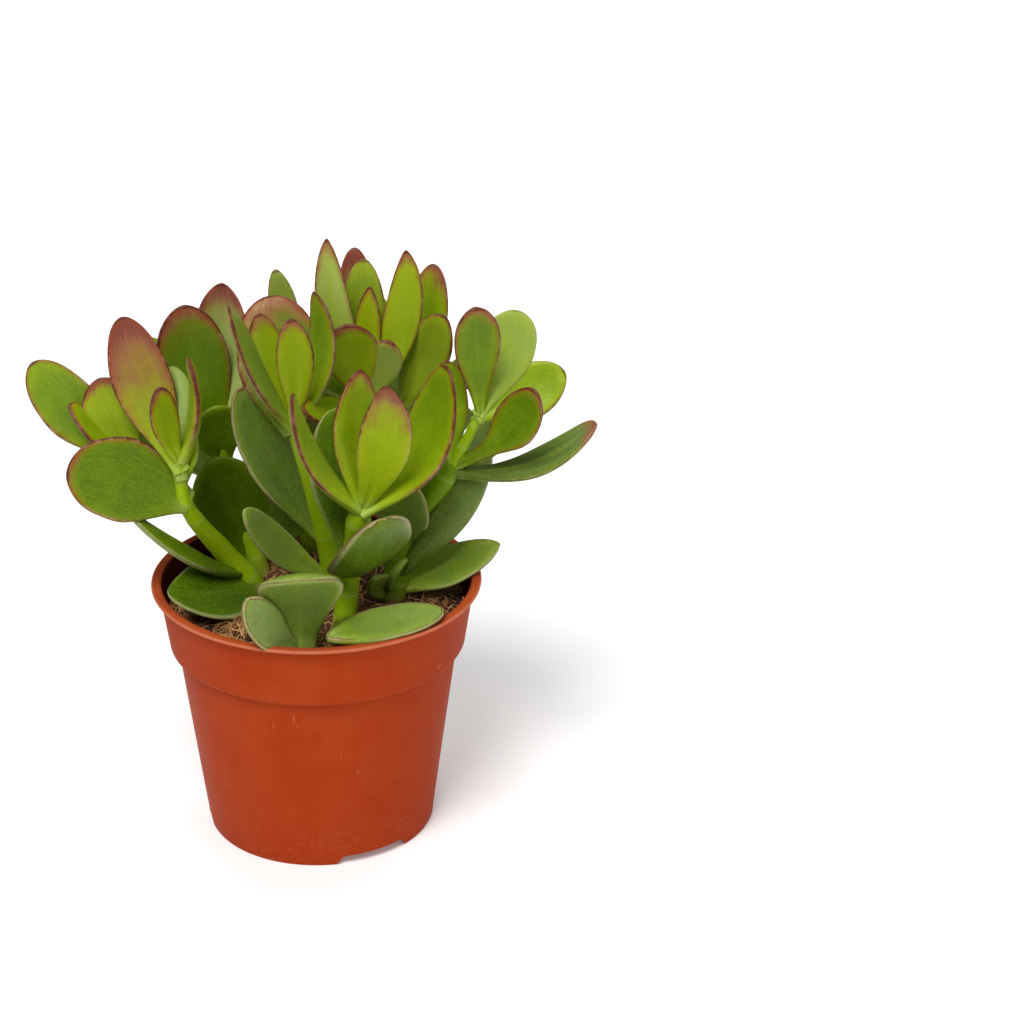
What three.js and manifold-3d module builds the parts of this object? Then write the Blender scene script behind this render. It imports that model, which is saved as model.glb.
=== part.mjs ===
// A young jade plant in a thin-walled plastic nursery pot.
// Millimetres, +Z up. The origin is on the pot's axis, in the plane that the pot's feet stand on.

import * as THREE from 'three';
import { mergeVertices } from 'three/addons/utils/BufferGeometryUtils.js';
import Module from 'manifold-3d';

// Pot: the collar is the wider band under the rim, and the wall tapers from it down to the foot
const potHeight = 97;
const rimRadius = 60;
const rimOverhang = 2.4;
const rimThickness = 1.2;
const wallThickness = 1.4;
const collarTop = rimRadius - rimOverhang;
const collarFoot = 54.2;
const collarHeight = 25;
const collarRound = 2.2;
const collarChamfer = 1.5;
const collarChamferTop = 0.2;
const wallTop = 51.2;
const wallFoot = 42;
const footHeight = 3.5;
const floorThickness = 1.6;
const footRingWidth = 2.6;
const potSides = 48;

// Slots between the pot's three feet, and the drain holes in its floor
const slotCount = 3;
const slotWidth = 24;
const slotFlare = 3;
const slotAngle = -63.5;
const drainRadius = 4;
const drainSides = 12;
const drainCircle = 24;
const drainCount = 6;

// Soil: its level, how far it dips at the wall and rises in the middle, its lumps, the rings that its
// surface is drawn on, its gap to the pot, and its gap to a stem
const soilLevel = 87.5;
const soilDip = 2;
const soilMound = 2.5;
const soilLump = 0.8;
const soilRings = [46, 32, 16];
const seatGap = 0.3;
const holeGap = 0.4;

// Plant: sides and rows of a stem, sides and rings of a leaf, and how far past the middle of its
// stem a leaf starts
const stemSides = 8;
const stemRows = 9;
const leafSides = 6;
const leafRings = 7;
const leafSink = 1.8;

// A usual leaf: how far its middle hangs, how much its edges rise as a share of its width, and how
// thick it is; its thickness goes from the root's share to the tip's share
const usualBow = 2;
const usualCup = 0.08;
const usualThickness = 3.6;
const rootShare = 1.1;
const tipShare = 0.6;

// Leaf outlines: where the blade is widest, how wide its root is, how pointed its tip is, and how
// soon it fills out from the root (below 1 is sooner)
const spoon = { widest: 0.68, root: 0.22, point: 0.5, fill: 1 };
const paddle = { widest: 0.7, root: 0.22, point: 0.48, fill: 1.6 };
const ladle = { widest: 0.66, root: 0.24, point: 0.52, fill: 2.4 };
const oval = { widest: 0.58, root: 0.3, point: 0.52, fill: 1 };
const round = { widest: 0.54, root: 0.3, point: 0.5, fill: 0.65 };
const broad = { widest: 0.5, root: 0.45, point: 0.5, fill: 0.5 };
const stub = { widest: 0.5, root: 0.62, point: 0.5, fill: 0.7 };
const fan = { widest: 0.64, root: 0.36, point: 0.4, fill: 0.9 };
const lance = { widest: 0.52, root: 0.36, point: 0.68, fill: 1 };

const wasm = await Module();
wasm.setup();

// Looks: terracotta-coloured plastic, damp potting soil, and for each leafy stem the green of its
// leaves, which is darker on the older stems
const potLook = { color: 0xb5482a, roughness: 0.42, metalness: 0 };
const soilLook = { color: 0x2b1d13, roughness: 0.95, metalness: 0 };
const leafRoughness = 0.36;
const leafGreens = {
  leafy_stem_left: 0x6d9434,
  leafy_stem_back_left: 0x5c8226,
  leafy_stem_middle: 0x648c28,
  leafy_stem_front: 0x6f9a2c,
  leafy_stem_low: 0x4f7330,
  leafy_stem_right: 0x648e2e,
  leafy_stem_top: 0x5a8422,
  leafy_stem_back_right: 0x547d24,
  leafy_stem_rear: 0x527a28,
};

// Turns a closed geometry into a solid that can be joined and cut
function solidOf(geometry) {
  const bare = geometry.clone();
  bare.deleteAttribute('normal');
  bare.deleteAttribute('uv');
  const merged = mergeVertices(bare, 1e-4);
  return new wasm.Manifold(new wasm.Mesh({
    numProp: 3,
    vertProperties: new Float32Array(merged.attributes.position.array),
    triVerts: new Uint32Array(merged.index.array),
  }));
}

// Makes a named part of a solid, with a material of its own
function meshOf(name, solid, look) {
  const { vertProperties, triVerts } = solid.getMesh();
  const geometry = new THREE.BufferGeometry();
  geometry.setAttribute('position', new THREE.BufferAttribute(vertProperties, 3));
  geometry.setIndex(new THREE.BufferAttribute(triVerts, 1));
  geometry.computeVertexNormals();
  const mesh = new THREE.Mesh(geometry, new THREE.MeshStandardMaterial(look));
  mesh.name = name;
  return mesh;
}

// A turned solid about the Z axis from [radius, height] points that start and end on the axis
function turned(profile, sides) {
  const points = profile.map(([radius, height]) => new THREE.Vector2(radius, height));
  return new THREE.LatheGeometry(points, sides).rotateX(Math.PI / 2);
}

// ---- Pot ----

const ledgeHeight = potHeight - collarHeight;
const floorTop = footHeight + floorThickness;

// Radius of the tapered wall's outside, and of the collar's outside, at a height
const wallAt = (z) => wallFoot + (wallTop - wallFoot) * z / ledgeHeight;
const collarAt = (z) => collarFoot + (collarTop - collarFoot) * (z - ledgeHeight - collarRound)
  / (collarHeight - collarRound);

// Radius of the pot's inside at a height: the wall's inside, with a step out at the collar
const ledgeInside = ledgeHeight + wallThickness;
const wallInside = (z) => wallAt(Math.min(z, ledgeHeight)) - wallThickness;
const collarInside = (z) => collarAt(z) - wallThickness;

// The pot: a turned shell, with the slots and the drain holes cut
function makePot() {
  const profile = [
    [0, footHeight],
    [wallFoot - footRingWidth, footHeight],
    [wallFoot - footRingWidth, 0],
    [wallFoot, 0],
    [wallTop, ledgeHeight],
    [collarFoot - collarChamfer, ledgeHeight],
    [collarFoot - collarChamferTop, ledgeHeight + collarChamfer],
    [collarTop, potHeight - rimThickness],
    [rimRadius, potHeight - rimThickness],
    [rimRadius, potHeight],
    [collarTop - wallThickness, potHeight],
    [collarInside(ledgeInside + collarRound), ledgeInside + collarRound],
    [wallInside(ledgeInside), ledgeInside],
    [wallInside(floorTop), floorTop],
    [0, floorTop],
  ];
  let pot = solidOf(turned(profile, potSides));
  for (let i = 0; i < slotCount; i += 1) {
    pot = pot.subtract(solidOf(slotCutter(slotAngle + i * 360 / slotCount)));
  }
  for (let i = 0; i < drainCount; i += 1) {
    const angle = (i + 0.5) * 2 * Math.PI / drainCount;
    const hole = new THREE.CylinderGeometry(drainRadius, drainRadius, 3 * floorThickness, drainSides)
      .rotateX(Math.PI / 2)
      .translate(drainCircle * Math.cos(angle), drainCircle * Math.sin(angle), floorTop);
    pot = pot.subtract(solidOf(hole));
  }
  return meshOf('pot', pot, potLook);
}

// A slot through the foot ring: narrow at the top, with slanted ends
function slotCutter(angle) {
  const half = slotWidth / 2;
  const outline = new THREE.Shape([
    new THREE.Vector2(-half - slotFlare, -1),
    new THREE.Vector2(half + slotFlare, -1),
    new THREE.Vector2(half, footHeight),
    new THREE.Vector2(-half, footHeight),
  ]);
  return new THREE.ExtrudeGeometry(outline, { depth: 3 * footRingWidth, bevelEnabled: false })
    .rotateX(Math.PI / 2)
    .translate(0, wallFoot + footRingWidth, 0)
    .rotateZ(THREE.MathUtils.degToRad(angle - 90));
}

// ---- Plant ----

// A stem: a tapered tube with closed ends along a smooth curve
function stemGeometry(curve, footRadius, tipRadius, extra = 0) {
  const geometry = new THREE.CylinderGeometry(1, 1, 1, stemSides, stemRows);
  const frames = curve.computeFrenetFrames(stemRows, false);
  const position = geometry.attributes.position;
  for (let i = 0; i < position.count; i += 1) {
    const row = Math.round((position.getY(i) + 0.5) * stemRows);
    const along = row / stemRows;
    const radius = footRadius + (tipRadius - footRadius) * along + extra;
    const point = curve.getPointAt(along)
      .addScaledVector(frames.normals[row], position.getX(i) * radius)
      .addScaledVector(frames.binormals[row], -position.getZ(i) * radius);
    position.setXYZ(i, point.x, point.y, point.z);
  }
  return geometry;
}

// Half the width of a leaf at t, from its root at 0 to its tip at 1, as a share of the widest half
function outlineAt(form, t) {
  if (t < form.widest) {
    const ramp = (1 - Math.cos(Math.PI * t / form.widest)) / 2;
    return form.root + (1 - form.root) * ramp ** form.fill;
  }
  const past = (t - form.widest) / (1 - form.widest);
  return Math.max(1 - past * past, 0) ** form.point;
}

// A leaf: a thick blade from its base inside the stem to its tip. `face` is the side that its upper
// face looks to, `bow` is how far its middle hangs below the line from base to tip, `sway` moves its
// middle further, and `cup` is how much its edges rise.
function leafGeometry(root, leaf) {
  const geometry = new THREE.SphereGeometry(1, leafSides, leafRings);
  const tip = new THREE.Vector3(...leaf.tip);
  const base = root.clone().add(root.clone().sub(tip).setLength(leafSink));
  const chord = tip.clone().sub(base);
  const face = new THREE.Vector3(...leaf.face);
  const rise = face.clone().addScaledVector(chord, -face.dot(chord) / chord.lengthSq()).normalize();
  const bow = leaf.bow ?? usualBow;
  const cup = leaf.cup ?? usualCup;
  const hang = new THREE.Vector3(...(leaf.sway ?? [0, 0, 0])).addScaledVector(rise, -bow);
  const position = geometry.attributes.position;
  for (let i = 0; i < position.count; i += 1) {
    const t = (1 + position.getY(i)) / 2;
    const across = new THREE.Vector2(position.getX(i), position.getZ(i));
    if (across.length() > 1e-6) {
      across.normalize();
    }
    const along = chord.clone().addScaledVector(hang, 4 * (1 - 2 * t)).normalize();
    const side = along.clone().cross(rise).normalize();
    const up = side.clone().cross(along);
    const width = leaf.width * outlineAt(leaf.form, t);
    const halfThick = usualThickness / 2 * (rootShare + (tipShare - rootShare) * t);
    const point = base.clone()
      .addScaledVector(chord, t)
      .addScaledVector(hang, 4 * t * (1 - t))
      .addScaledVector(side, across.x * width / 2)
      .addScaledVector(up, across.y * halfThick + cup * width * across.x ** 2);
    position.setXYZ(i, point.x, point.y, point.z);
  }
  return geometry;
}

// The shoots of one leafy stem. A shoot has the points of its path, its radius at the foot and at the
// tip, and its leaves, each with the place of its base along the path. The first shoot of a stem
// starts in the soil, and the others grow out of it.
const leafyStems = {
  leafy_stem_left: [
    {
      path: [[-23, 8, 77], [-23, 8, 88], [-33, 4, 105], [-46, -8, 131], [-47, -10, 149]],
      radius: [5.2, 2.5],
      leaves: [
        { at: 0.78, tip: [-86, -18, 147], width: 30, face: [0.1, -0.93, 0.35], form: round,
          sway: [0, 0, 2.5] },
        { at: 0.95, tip: [-66, 6, 196], width: 21, face: [0.3, -0.9, 0.2], form: oval,
          sway: [-1.5, 0, 0] },
        { at: 0.97, tip: [-52, -24, 181], width: 11, face: [0.4, -0.9, 0.2], form: oval,
          sway: [-1, 0, 0] },
        { at: 1, tip: [-43, -8, 186], width: 11, face: [-1, -0.3, 0.1], form: lance, sway: [2.5, 0, 0] },
        { at: 0.91, tip: [-50, 12, 175], width: 17, face: [0.2, 0.9, 0.3], form: oval },
        { at: 0.88, tip: [-43, -4, 159], width: 8, face: [-0.6, -0.8, 0], form: lance },
        { at: 0.16, tip: [-67, -12, 131], width: 9.5, face: [0.3, -0.2, 0.93], form: lance, bow: 0,
          sway: [0, -8, 0] },
        { at: 0.22, tip: [-53, -19, 102], width: 27, face: [0, -0.5, 0.87], form: round, bow: -4,
          sway: [0, -7.5, -0.5] },
        { at: 0.82, tip: [-70, 25, 160], width: 18, face: [0.4, -0.4, 0.8], form: spoon },
        { at: 0.72, tip: [-66, 15, 142], width: 15, face: [0.2, -0.4, 0.9], form: spoon },
      ],
    },
    {
      path: [[-45, -7, 130], [-54, -4, 138], [-65, -2, 145]],
      radius: [3, 2.2],
      leaves: [
        { at: 1, tip: [-98, 8, 179], width: 21, face: [0, -0.8, 0.3], form: oval, sway: [-1.2, 0, -0.8] },
        { at: 0.95, tip: [-85, -2, 167], width: 12, face: [0.9, -0.4, 0.3], form: oval },
        { at: 0.95, tip: [-75, 4, 174], width: 21, face: [0.1, -0.9, 0.35], form: oval },
      ],
    },
  ],
  leafy_stem_back_left: [
    {
      path: [[-21, 22, 77], [-21, 22, 88], [-27, 25, 105], [-33, 28, 128], [-34, 30, 142]],
      radius: [4.4, 2.6],
      leaves: [
        { at: 0.96, tip: [-45, 26, 193], width: 26.5, face: [0.15, -0.95, 0.3], form: oval,
          sway: [-1.8, 0, 0] },
        { at: 1, tip: [-32, 38, 197], width: 21.5, face: [0.3, -0.9, 0.1], form: oval, sway: [1, 0, 0] },
        { at: 0.83, tip: [-41, 20, 155], width: 16, face: [0.2, -0.9, 0.3], form: oval },
        { at: 0.27, tip: [-38, 16, 137], width: 30, face: [0.2, -0.9, 0.35], form: round },
        { at: 0.97, tip: [-60, 50, 172], width: 19, face: [0.5, -0.3, 0.7], form: oval },
        { at: 0.72, tip: [-58, 48, 136], width: 19, face: [0.2, -0.3, 0.9], form: spoon },
        { at: 0.36, tip: [-46, 44, 112], width: 18, face: [0.3, -0.3, 0.9], form: spoon },
        { at: 0.3, tip: [-3, 20, 122], width: 18, face: [-0.2, -0.9, 0.4], form: oval },
      ],
    },
  ],
  leafy_stem_middle: [
    {
      path: [[7, 6, 77], [7, 6, 88], [4, 4, 108], [-2, 0, 137], [-7, -2, 158]],
      radius: [4.8, 2.6],
      leaves: [
        { at: 0.97, tip: [-28, -16, 207], width: 17, face: [0.85, -0.25, 0.4], form: lance, bow: 3 },
        { at: 1, tip: [-18, -4, 200], width: 13, face: [0.3, -0.9, 0.1], form: oval, sway: [-1, 0, 0] },
        { at: 1, tip: [-7, -16, 202], width: 13.2, face: [0, -0.95, 0.1], form: oval, sway: [1, 0, 0] },
        { at: 1, tip: [1, 4, 205], width: 13, face: [-0.7, -0.7, 0], form: lance, bow: 5,
          sway: [3.5, 0, 0] },
        { at: 0.96, tip: [-15, 26, 196], width: 31.5, face: [0, -0.9, 0.4], form: round, cup: 0.02 },
        { at: 0.39, tip: [-26, 8, 168], width: 19, face: [0.3, -0.9, 0.3], form: oval, sway: [-3, 0, 0] },
        { at: 0.18, tip: [-25, -20, 133], width: 13.5, face: [0.4, -0.75, 0.5], form: oval,
          sway: [-2, 0, -1.5] },
        { at: 0.8, tip: [-23, 24, 162], width: 18, face: [0.2, -0.6, 0.7], form: oval },
      ],
    },
  ],
  leafy_stem_front: [
    {
      path: [[9, -25, 77], [9, -25, 88], [11, -21, 103], [13, -20, 116], [16, -26, 136]],
      radius: [4.6, 2.8],
      leaves: [
        { at: 0.98, tip: [-7, -42, 185], width: 15, face: [0.95, -0.2, 0.3], form: lance, bow: 7 },
        { at: 1, tip: [16, -26, 187], width: 18, face: [0.4, -0.9, 0], form: oval, sway: [-1.5, 0, 0] },
        { at: 1, tip: [24, -44, 188], width: 18.5, face: [0, -0.95, 0.2], form: oval, sway: [4, 0, 0] },
        { at: 0.98, tip: [46, -24, 187], width: 27, face: [-0.7, -0.5, 0.4], form: oval, bow: 6,
          sway: [3, 0, -3] },
        { at: 0.55, tip: [23, -52, 143], width: 31, face: [-0.3, 0.5, 0.85], form: broad, bow: 5 },
        { at: 0.59, tip: [8, -8, 166], width: 24, face: [0, -0.95, 0.2], form: oval },
        { at: 0.9, tip: [26, -6, 172], width: 16, face: [-0.3, -0.8, 0.4], form: oval },
      ],
    },
    {
      path: [[10, -25, 92.5], [7, -38, 96.5], [5, -49, 99]],
      radius: [3, 1.8],
      leaves: [
        { at: 0.95, tip: [44, -37, 100], width: 14.2, face: [0, -0.4, 0.9], form: broad, bow: 0.5 },
      ],
    },
  ],
  leafy_stem_low: [
    {
      path: [[-6, -46, 77], [-6, -46, 88], [-6, -46, 91], [-6, -46.5, 94]],
      radius: [3, 2.8],
      leaves: [
        { at: 0.89, tip: [-6, -65.5, 127], width: 30, face: [0, 0.7, 0.7], form: fan, bow: -9.5,
          cup: -0.1 },
        { at: 0.78, tip: [-24, -56, 116], width: 13.6, face: [0.35, -0.7, 0.6], form: oval,
          sway: [-0.5, 0, 0.8] },
      ],
    },
  ],
  leafy_stem_right: [
    {
      path: [[27, -3, 77], [27, -3, 88], [33.5, 2, 111], [50, 2, 141]],
      radius: [5.2, 4],
      leaves: [
        { at: 0.97, tip: [77, -14, 174], width: 17.5, face: [-0.2, -0.9, 0.4], form: ladle,
          sway: [4.5, 0, -3] },
        { at: 0.94, tip: [100, -8, 158], width: 19, face: [-0.2, -0.2, 0.96], form: spoon, bow: 9.5 },
        { at: 0.98, tip: [48, 10, 176], width: 15, face: [0.3, -0.9, 0.2], form: oval },
        { at: 0.29, tip: [64, 14, 139], width: 14, face: [-0.25, 0.95, -0.3], form: oval, bow: 9 },
        { at: 0.38, tip: [37, 6, 136], width: 17, face: [-0.3, -0.9, 0.2], form: oval },
        { at: 0.22, tip: [67, 3, 107], width: 17, face: [-0.2, -0.5, 0.8], form: lance },
        { at: 0.19, tip: [32, -9, 107], width: 12, face: [0.8, -0.5, 0.2], form: lance },
        { at: 0.17, tip: [20, -14, 102], width: 9, face: [0, -0.9, 0.3], form: lance },
        { at: 0.86, tip: [72, 27, 147], width: 17, face: [-0.2, -0.4, 0.9], form: spoon },
      ],
    },
    {
      path: [[48.5, 2, 138], [54.5, 3, 148], [59.5, 4, 158]],
      radius: [3, 2],
      leaves: [
        { at: 1, tip: [57, -4, 201], width: 17, face: [0.1, -0.97, 0.2], form: spoon },
        { at: 1, tip: [73, 18, 192], width: 20, face: [-0.1, -0.9, 0.3], form: spoon, sway: [2, 0, 0] },
        { at: 0.95, tip: [90, 8, 172], width: 20, face: [-0.3, -0.85, 0.4], form: oval },
        { at: 0.9, tip: [76, 32, 168], width: 17, face: [-0.4, -0.4, 0.8], form: spoon },
      ],
    },
  ],
  leafy_stem_top: [
    {
      path: [[10, 20, 77], [10, 20, 88], [15, 22, 117], [18, 22, 157]],
      radius: [4.6, 2.8],
      leaves: [
        { at: 1, tip: [6, 20, 219], width: 12.5, face: [0.1, 1, 0], form: lance, sway: [-3, 0, 0] },
        { at: 1, tip: [16, 40, 209], width: 15, face: [0, -1, 0], form: oval },
        { at: 0.98, tip: [19, 30, 208], width: 16, face: [0, -1, 0], form: oval },
        { at: 1, tip: [21, 20, 201], width: 10.5, face: [0, -1, 0], form: lance },
        { at: 0.97, tip: [12, 5, 192], width: 20, face: [0, -0.95, 0.3], form: spoon },
        { at: 0.96, tip: [27, 10, 184], width: 14.5, face: [0, -0.95, 0.3], form: spoon, sway: [1, 0, 0] },
        { at: 0.98, tip: [34, 24, 213], width: 14, face: [0.1, -0.95, 0.1], form: lance,
          sway: [5.6, 0, 0] },
        { at: 0.6, tip: [1, 11, 165], width: 19, face: [0.1, -0.9, 0.4], form: oval },
        { at: 0.5, tip: [38, 14, 152], width: 20, face: [-0.2, -0.9, 0.4], form: oval },
        { at: 0.97, tip: [9, 50, 194], width: 16, face: [0.1, -0.8, 0.5], form: oval },
        { at: 0.94, tip: [25, 42, 190], width: 14, face: [-0.2, -0.8, 0.4], form: oval },
        { at: 0.7, tip: [3, 44, 161], width: 18, face: [0.1, -0.5, 0.8], form: oval },
        { at: 0.97, tip: [-5, 9, 151], width: 18, face: [-0.2, -0.8, 0.6], form: oval },
      ],
    },
  ],
  leafy_stem_back_right: [
    {
      path: [[24, 27, 77], [24, 27, 88], [31, 33, 121], [33, 31, 152]],
      radius: [4.4, 2.6],
      leaves: [
        { at: 1, tip: [45, 44, 201], width: 16, face: [-0.2, -0.9, 0.1], form: round, sway: [1.5, 0, 0] },
        { at: 0.98, tip: [47, 20, 190], width: 17, face: [-0.3, -0.9, 0.2], form: oval },
        { at: 0.92, tip: [70, 52, 166], width: 18, face: [-0.4, -0.3, 0.8], form: spoon },
        { at: 0.97, tip: [28, 65, 178], width: 18, face: [0, -0.7, 0.7], form: oval },
        { at: 0.7, tip: [58, 60, 138], width: 19, face: [-0.3, -0.3, 0.9], form: spoon },
        { at: 0.46, tip: [52, 46, 112], width: 18, face: [-0.3, -0.3, 0.9], form: spoon },
        { at: 0.52, tip: [26, 65, 124], width: 18, face: [0, -0.5, 0.9], form: spoon },
        { at: 0.6, tip: [51, 19, 143], width: 18, face: [-0.3, -0.8, 0.5], form: oval },
      ],
    },
  ],
  leafy_stem_rear: [
    {
      path: [[-2, 40, 77], [-2, 40, 88], [-6, 45, 118], [-10, 46, 146]],
      radius: [4.4, 2.6],
      leaves: [
        { at: 1, tip: [-13, 52, 197], width: 12, face: [0.2, -0.9, 0.1], form: oval, sway: [2.5, 0, 0] },
        { at: 1, tip: [-34, 56, 180], width: 17, face: [0.5, -0.4, 0.6], form: oval },
        { at: 1, tip: [6, 60, 180], width: 17, face: [-0.5, -0.4, 0.6], form: oval },
        { at: 0.97, tip: [-12, 65, 184], width: 16, face: [0, -0.9, 0.3], form: oval },
        { at: 0.86, tip: [-46, 58, 150], width: 20, face: [0.2, -0.3, 0.9], form: spoon },
        { at: 0.84, tip: [18, 62, 150], width: 20, face: [-0.2, -0.3, 0.9], form: spoon },
        { at: 0.64, tip: [-20, 65, 126], width: 20, face: [0, -0.5, 0.9], form: spoon },
        { at: 0.6, tip: [-24, 44, 168], width: 16, face: [0.3, -0.8, 0.5], form: oval },
        { at: 0.46, tip: [-34, 58, 106], width: 17, face: [0.2, -0.4, 0.9], form: spoon },
        { at: 0.5, tip: [8, 64, 108], width: 16, face: [-0.2, -0.4, 0.9], form: spoon },
      ],
    },
  ],
};

// The smooth curve of a shoot through the points of its path
function shootCurve(path) {
  const points = path.map((point) => new THREE.Vector3(...point));
  return new THREE.CatmullRomCurve3(points, false, 'centripetal');
}

// Joins the stems and leaves of one leafy stem into one body
function makeLeafyStem(name, shoots) {
  const pieces = [];
  for (const shoot of shoots) {
    const curve = shootCurve(shoot.path);
    pieces.push(solidOf(stemGeometry(curve, ...shoot.radius)));
    for (const leaf of shoot.leaves) {
      pieces.push(solidOf(leafGeometry(curve.getPointAt(leaf.at), leaf)));
    }
  }
  const look = { color: leafGreens[name], roughness: leafRoughness, metalness: 0 };
  return meshOf(name, wasm.Manifold.union(pieces), look);
}

// ---- Soil ----

// Height of the soil's surface over a point: highest in the middle, with low lumps from two crossed
// waves
function soilTop(x, y) {
  const out = Math.hypot(x, y) / collarInside(soilLevel);
  const lumps = Math.sin(0.21 * x + 0.6) * Math.cos(0.17 * y) + 0.6 * Math.sin(0.11 * x - 0.31 * y);
  return soilLevel + soilMound * (1 - out * out) - soilDip * out ** 6 + soilLump * lumps;
}

// The soil: it fills the pot to its level, with a plain hole for each stem
function makeSoil() {
  const edgeRadius = collarInside(soilLevel - soilDip - 2 * soilLump) - seatGap;
  const profile = [
    [0, floorTop + seatGap],
    [wallInside(floorTop + seatGap) - seatGap, floorTop + seatGap],
    [wallInside(ledgeInside + seatGap) - seatGap, ledgeInside + seatGap],
    [collarInside(ledgeInside + collarRound) - seatGap, ledgeInside + collarRound + seatGap],
    ...[edgeRadius, ...soilRings].map((radius) => [radius, soilLevel]),
    [0, soilLevel],
  ];
  const geometry = turned(profile, potSides);
  const position = geometry.attributes.position;
  for (let i = 0; i < position.count; i += 1) {
    if (position.getZ(i) > soilLevel - 0.01) {
      position.setZ(i, soilTop(position.getX(i), position.getY(i)));
    }
  }
  let soil = solidOf(geometry);
  for (const [shoot] of Object.values(leafyStems)) {
    const [[x, y, z], ...rest] = shoot.path;
    const hole = shootCurve([[x, y, z - seatGap], ...rest]);
    soil = soil.subtract(solidOf(stemGeometry(hole, ...shoot.radius, holeGap)));
  }
  return meshOf('soil', soil, soilLook);
}

const pottedJadePlant = new THREE.Group();
pottedJadePlant.add(makePot(), makeSoil());
for (const [name, shoots] of Object.entries(leafyStems)) {
  pottedJadePlant.add(makeLeafyStem(name, shoots));
}

export default pottedJadePlant;
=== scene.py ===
# A young jade plant in a thin-walled nursery pot, dressed over its solid parts.
# Sizes in the tables are millimetres, with +Z up and the origin on the pot's axis at the table.
import math
import random

import bpy
import numpy as np
from mathutils import Matrix, Vector, noise


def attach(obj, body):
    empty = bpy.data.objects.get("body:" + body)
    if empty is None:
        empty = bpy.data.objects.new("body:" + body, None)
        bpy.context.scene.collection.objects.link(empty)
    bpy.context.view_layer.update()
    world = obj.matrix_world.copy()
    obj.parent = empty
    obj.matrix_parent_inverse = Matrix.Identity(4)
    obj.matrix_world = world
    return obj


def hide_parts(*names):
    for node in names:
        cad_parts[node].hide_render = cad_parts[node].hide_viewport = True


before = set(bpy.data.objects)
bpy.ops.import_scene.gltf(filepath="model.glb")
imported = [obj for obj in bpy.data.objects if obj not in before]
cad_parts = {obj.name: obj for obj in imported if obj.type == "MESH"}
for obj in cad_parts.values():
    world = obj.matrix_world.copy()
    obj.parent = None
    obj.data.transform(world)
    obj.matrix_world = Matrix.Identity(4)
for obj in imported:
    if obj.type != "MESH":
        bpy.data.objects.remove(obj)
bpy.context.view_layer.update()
mm = 0.001


# Small helpers

def clearSelection():
    if bpy.context.object and bpy.context.object.mode != "OBJECT":
        bpy.ops.object.mode_set(mode="OBJECT")
    bpy.ops.object.select_all(action="DESELECT")


def makeActive(piece):
    clearSelection()
    piece.select_set(True)
    bpy.context.view_layer.objects.active = piece


def readPoints(mesh):
    flat = np.zeros(len(mesh.vertices) * 3, np.float32)
    mesh.vertices.foreach_get("co", flat)
    return flat.reshape(-1, 3).astype(float)


def writePoints(mesh, points):
    mesh.vertices.foreach_set("co", points.astype(np.float32).ravel())
    mesh.update()


def writeAttribute(mesh, name, values):
    kind, field = ("FLOAT", "value") if values.ndim == 1 else ("FLOAT_VECTOR", "vector")
    made = mesh.attributes.get(name) or mesh.attributes.new(name, kind, "POINT")
    made.data.foreach_set(field, values.astype(np.float32).ravel())


def copyOf(piece, name):
    made = piece.copy()
    made.data = piece.data.copy()
    made.name = name
    bpy.context.scene.collection.objects.link(made)
    return made


def joined(pieces, name):
    clearSelection()
    for piece in pieces:
        piece.select_set(True)
    bpy.context.view_layer.objects.active = pieces[0]
    bpy.ops.object.join()
    pieces[0].name = name
    pieces[0].data.name = name
    return pieces[0]


def smoothByAngle(piece, degrees):
    makeActive(piece)
    bpy.ops.object.shade_smooth_by_angle(angle=math.radians(degrees))


def dress(piece, slotName, *nodes):
    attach(piece, "root")
    if nodes:
        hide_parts(*nodes)


# Shader maths: a wire carries a value or a colour from one node to the next

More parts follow.
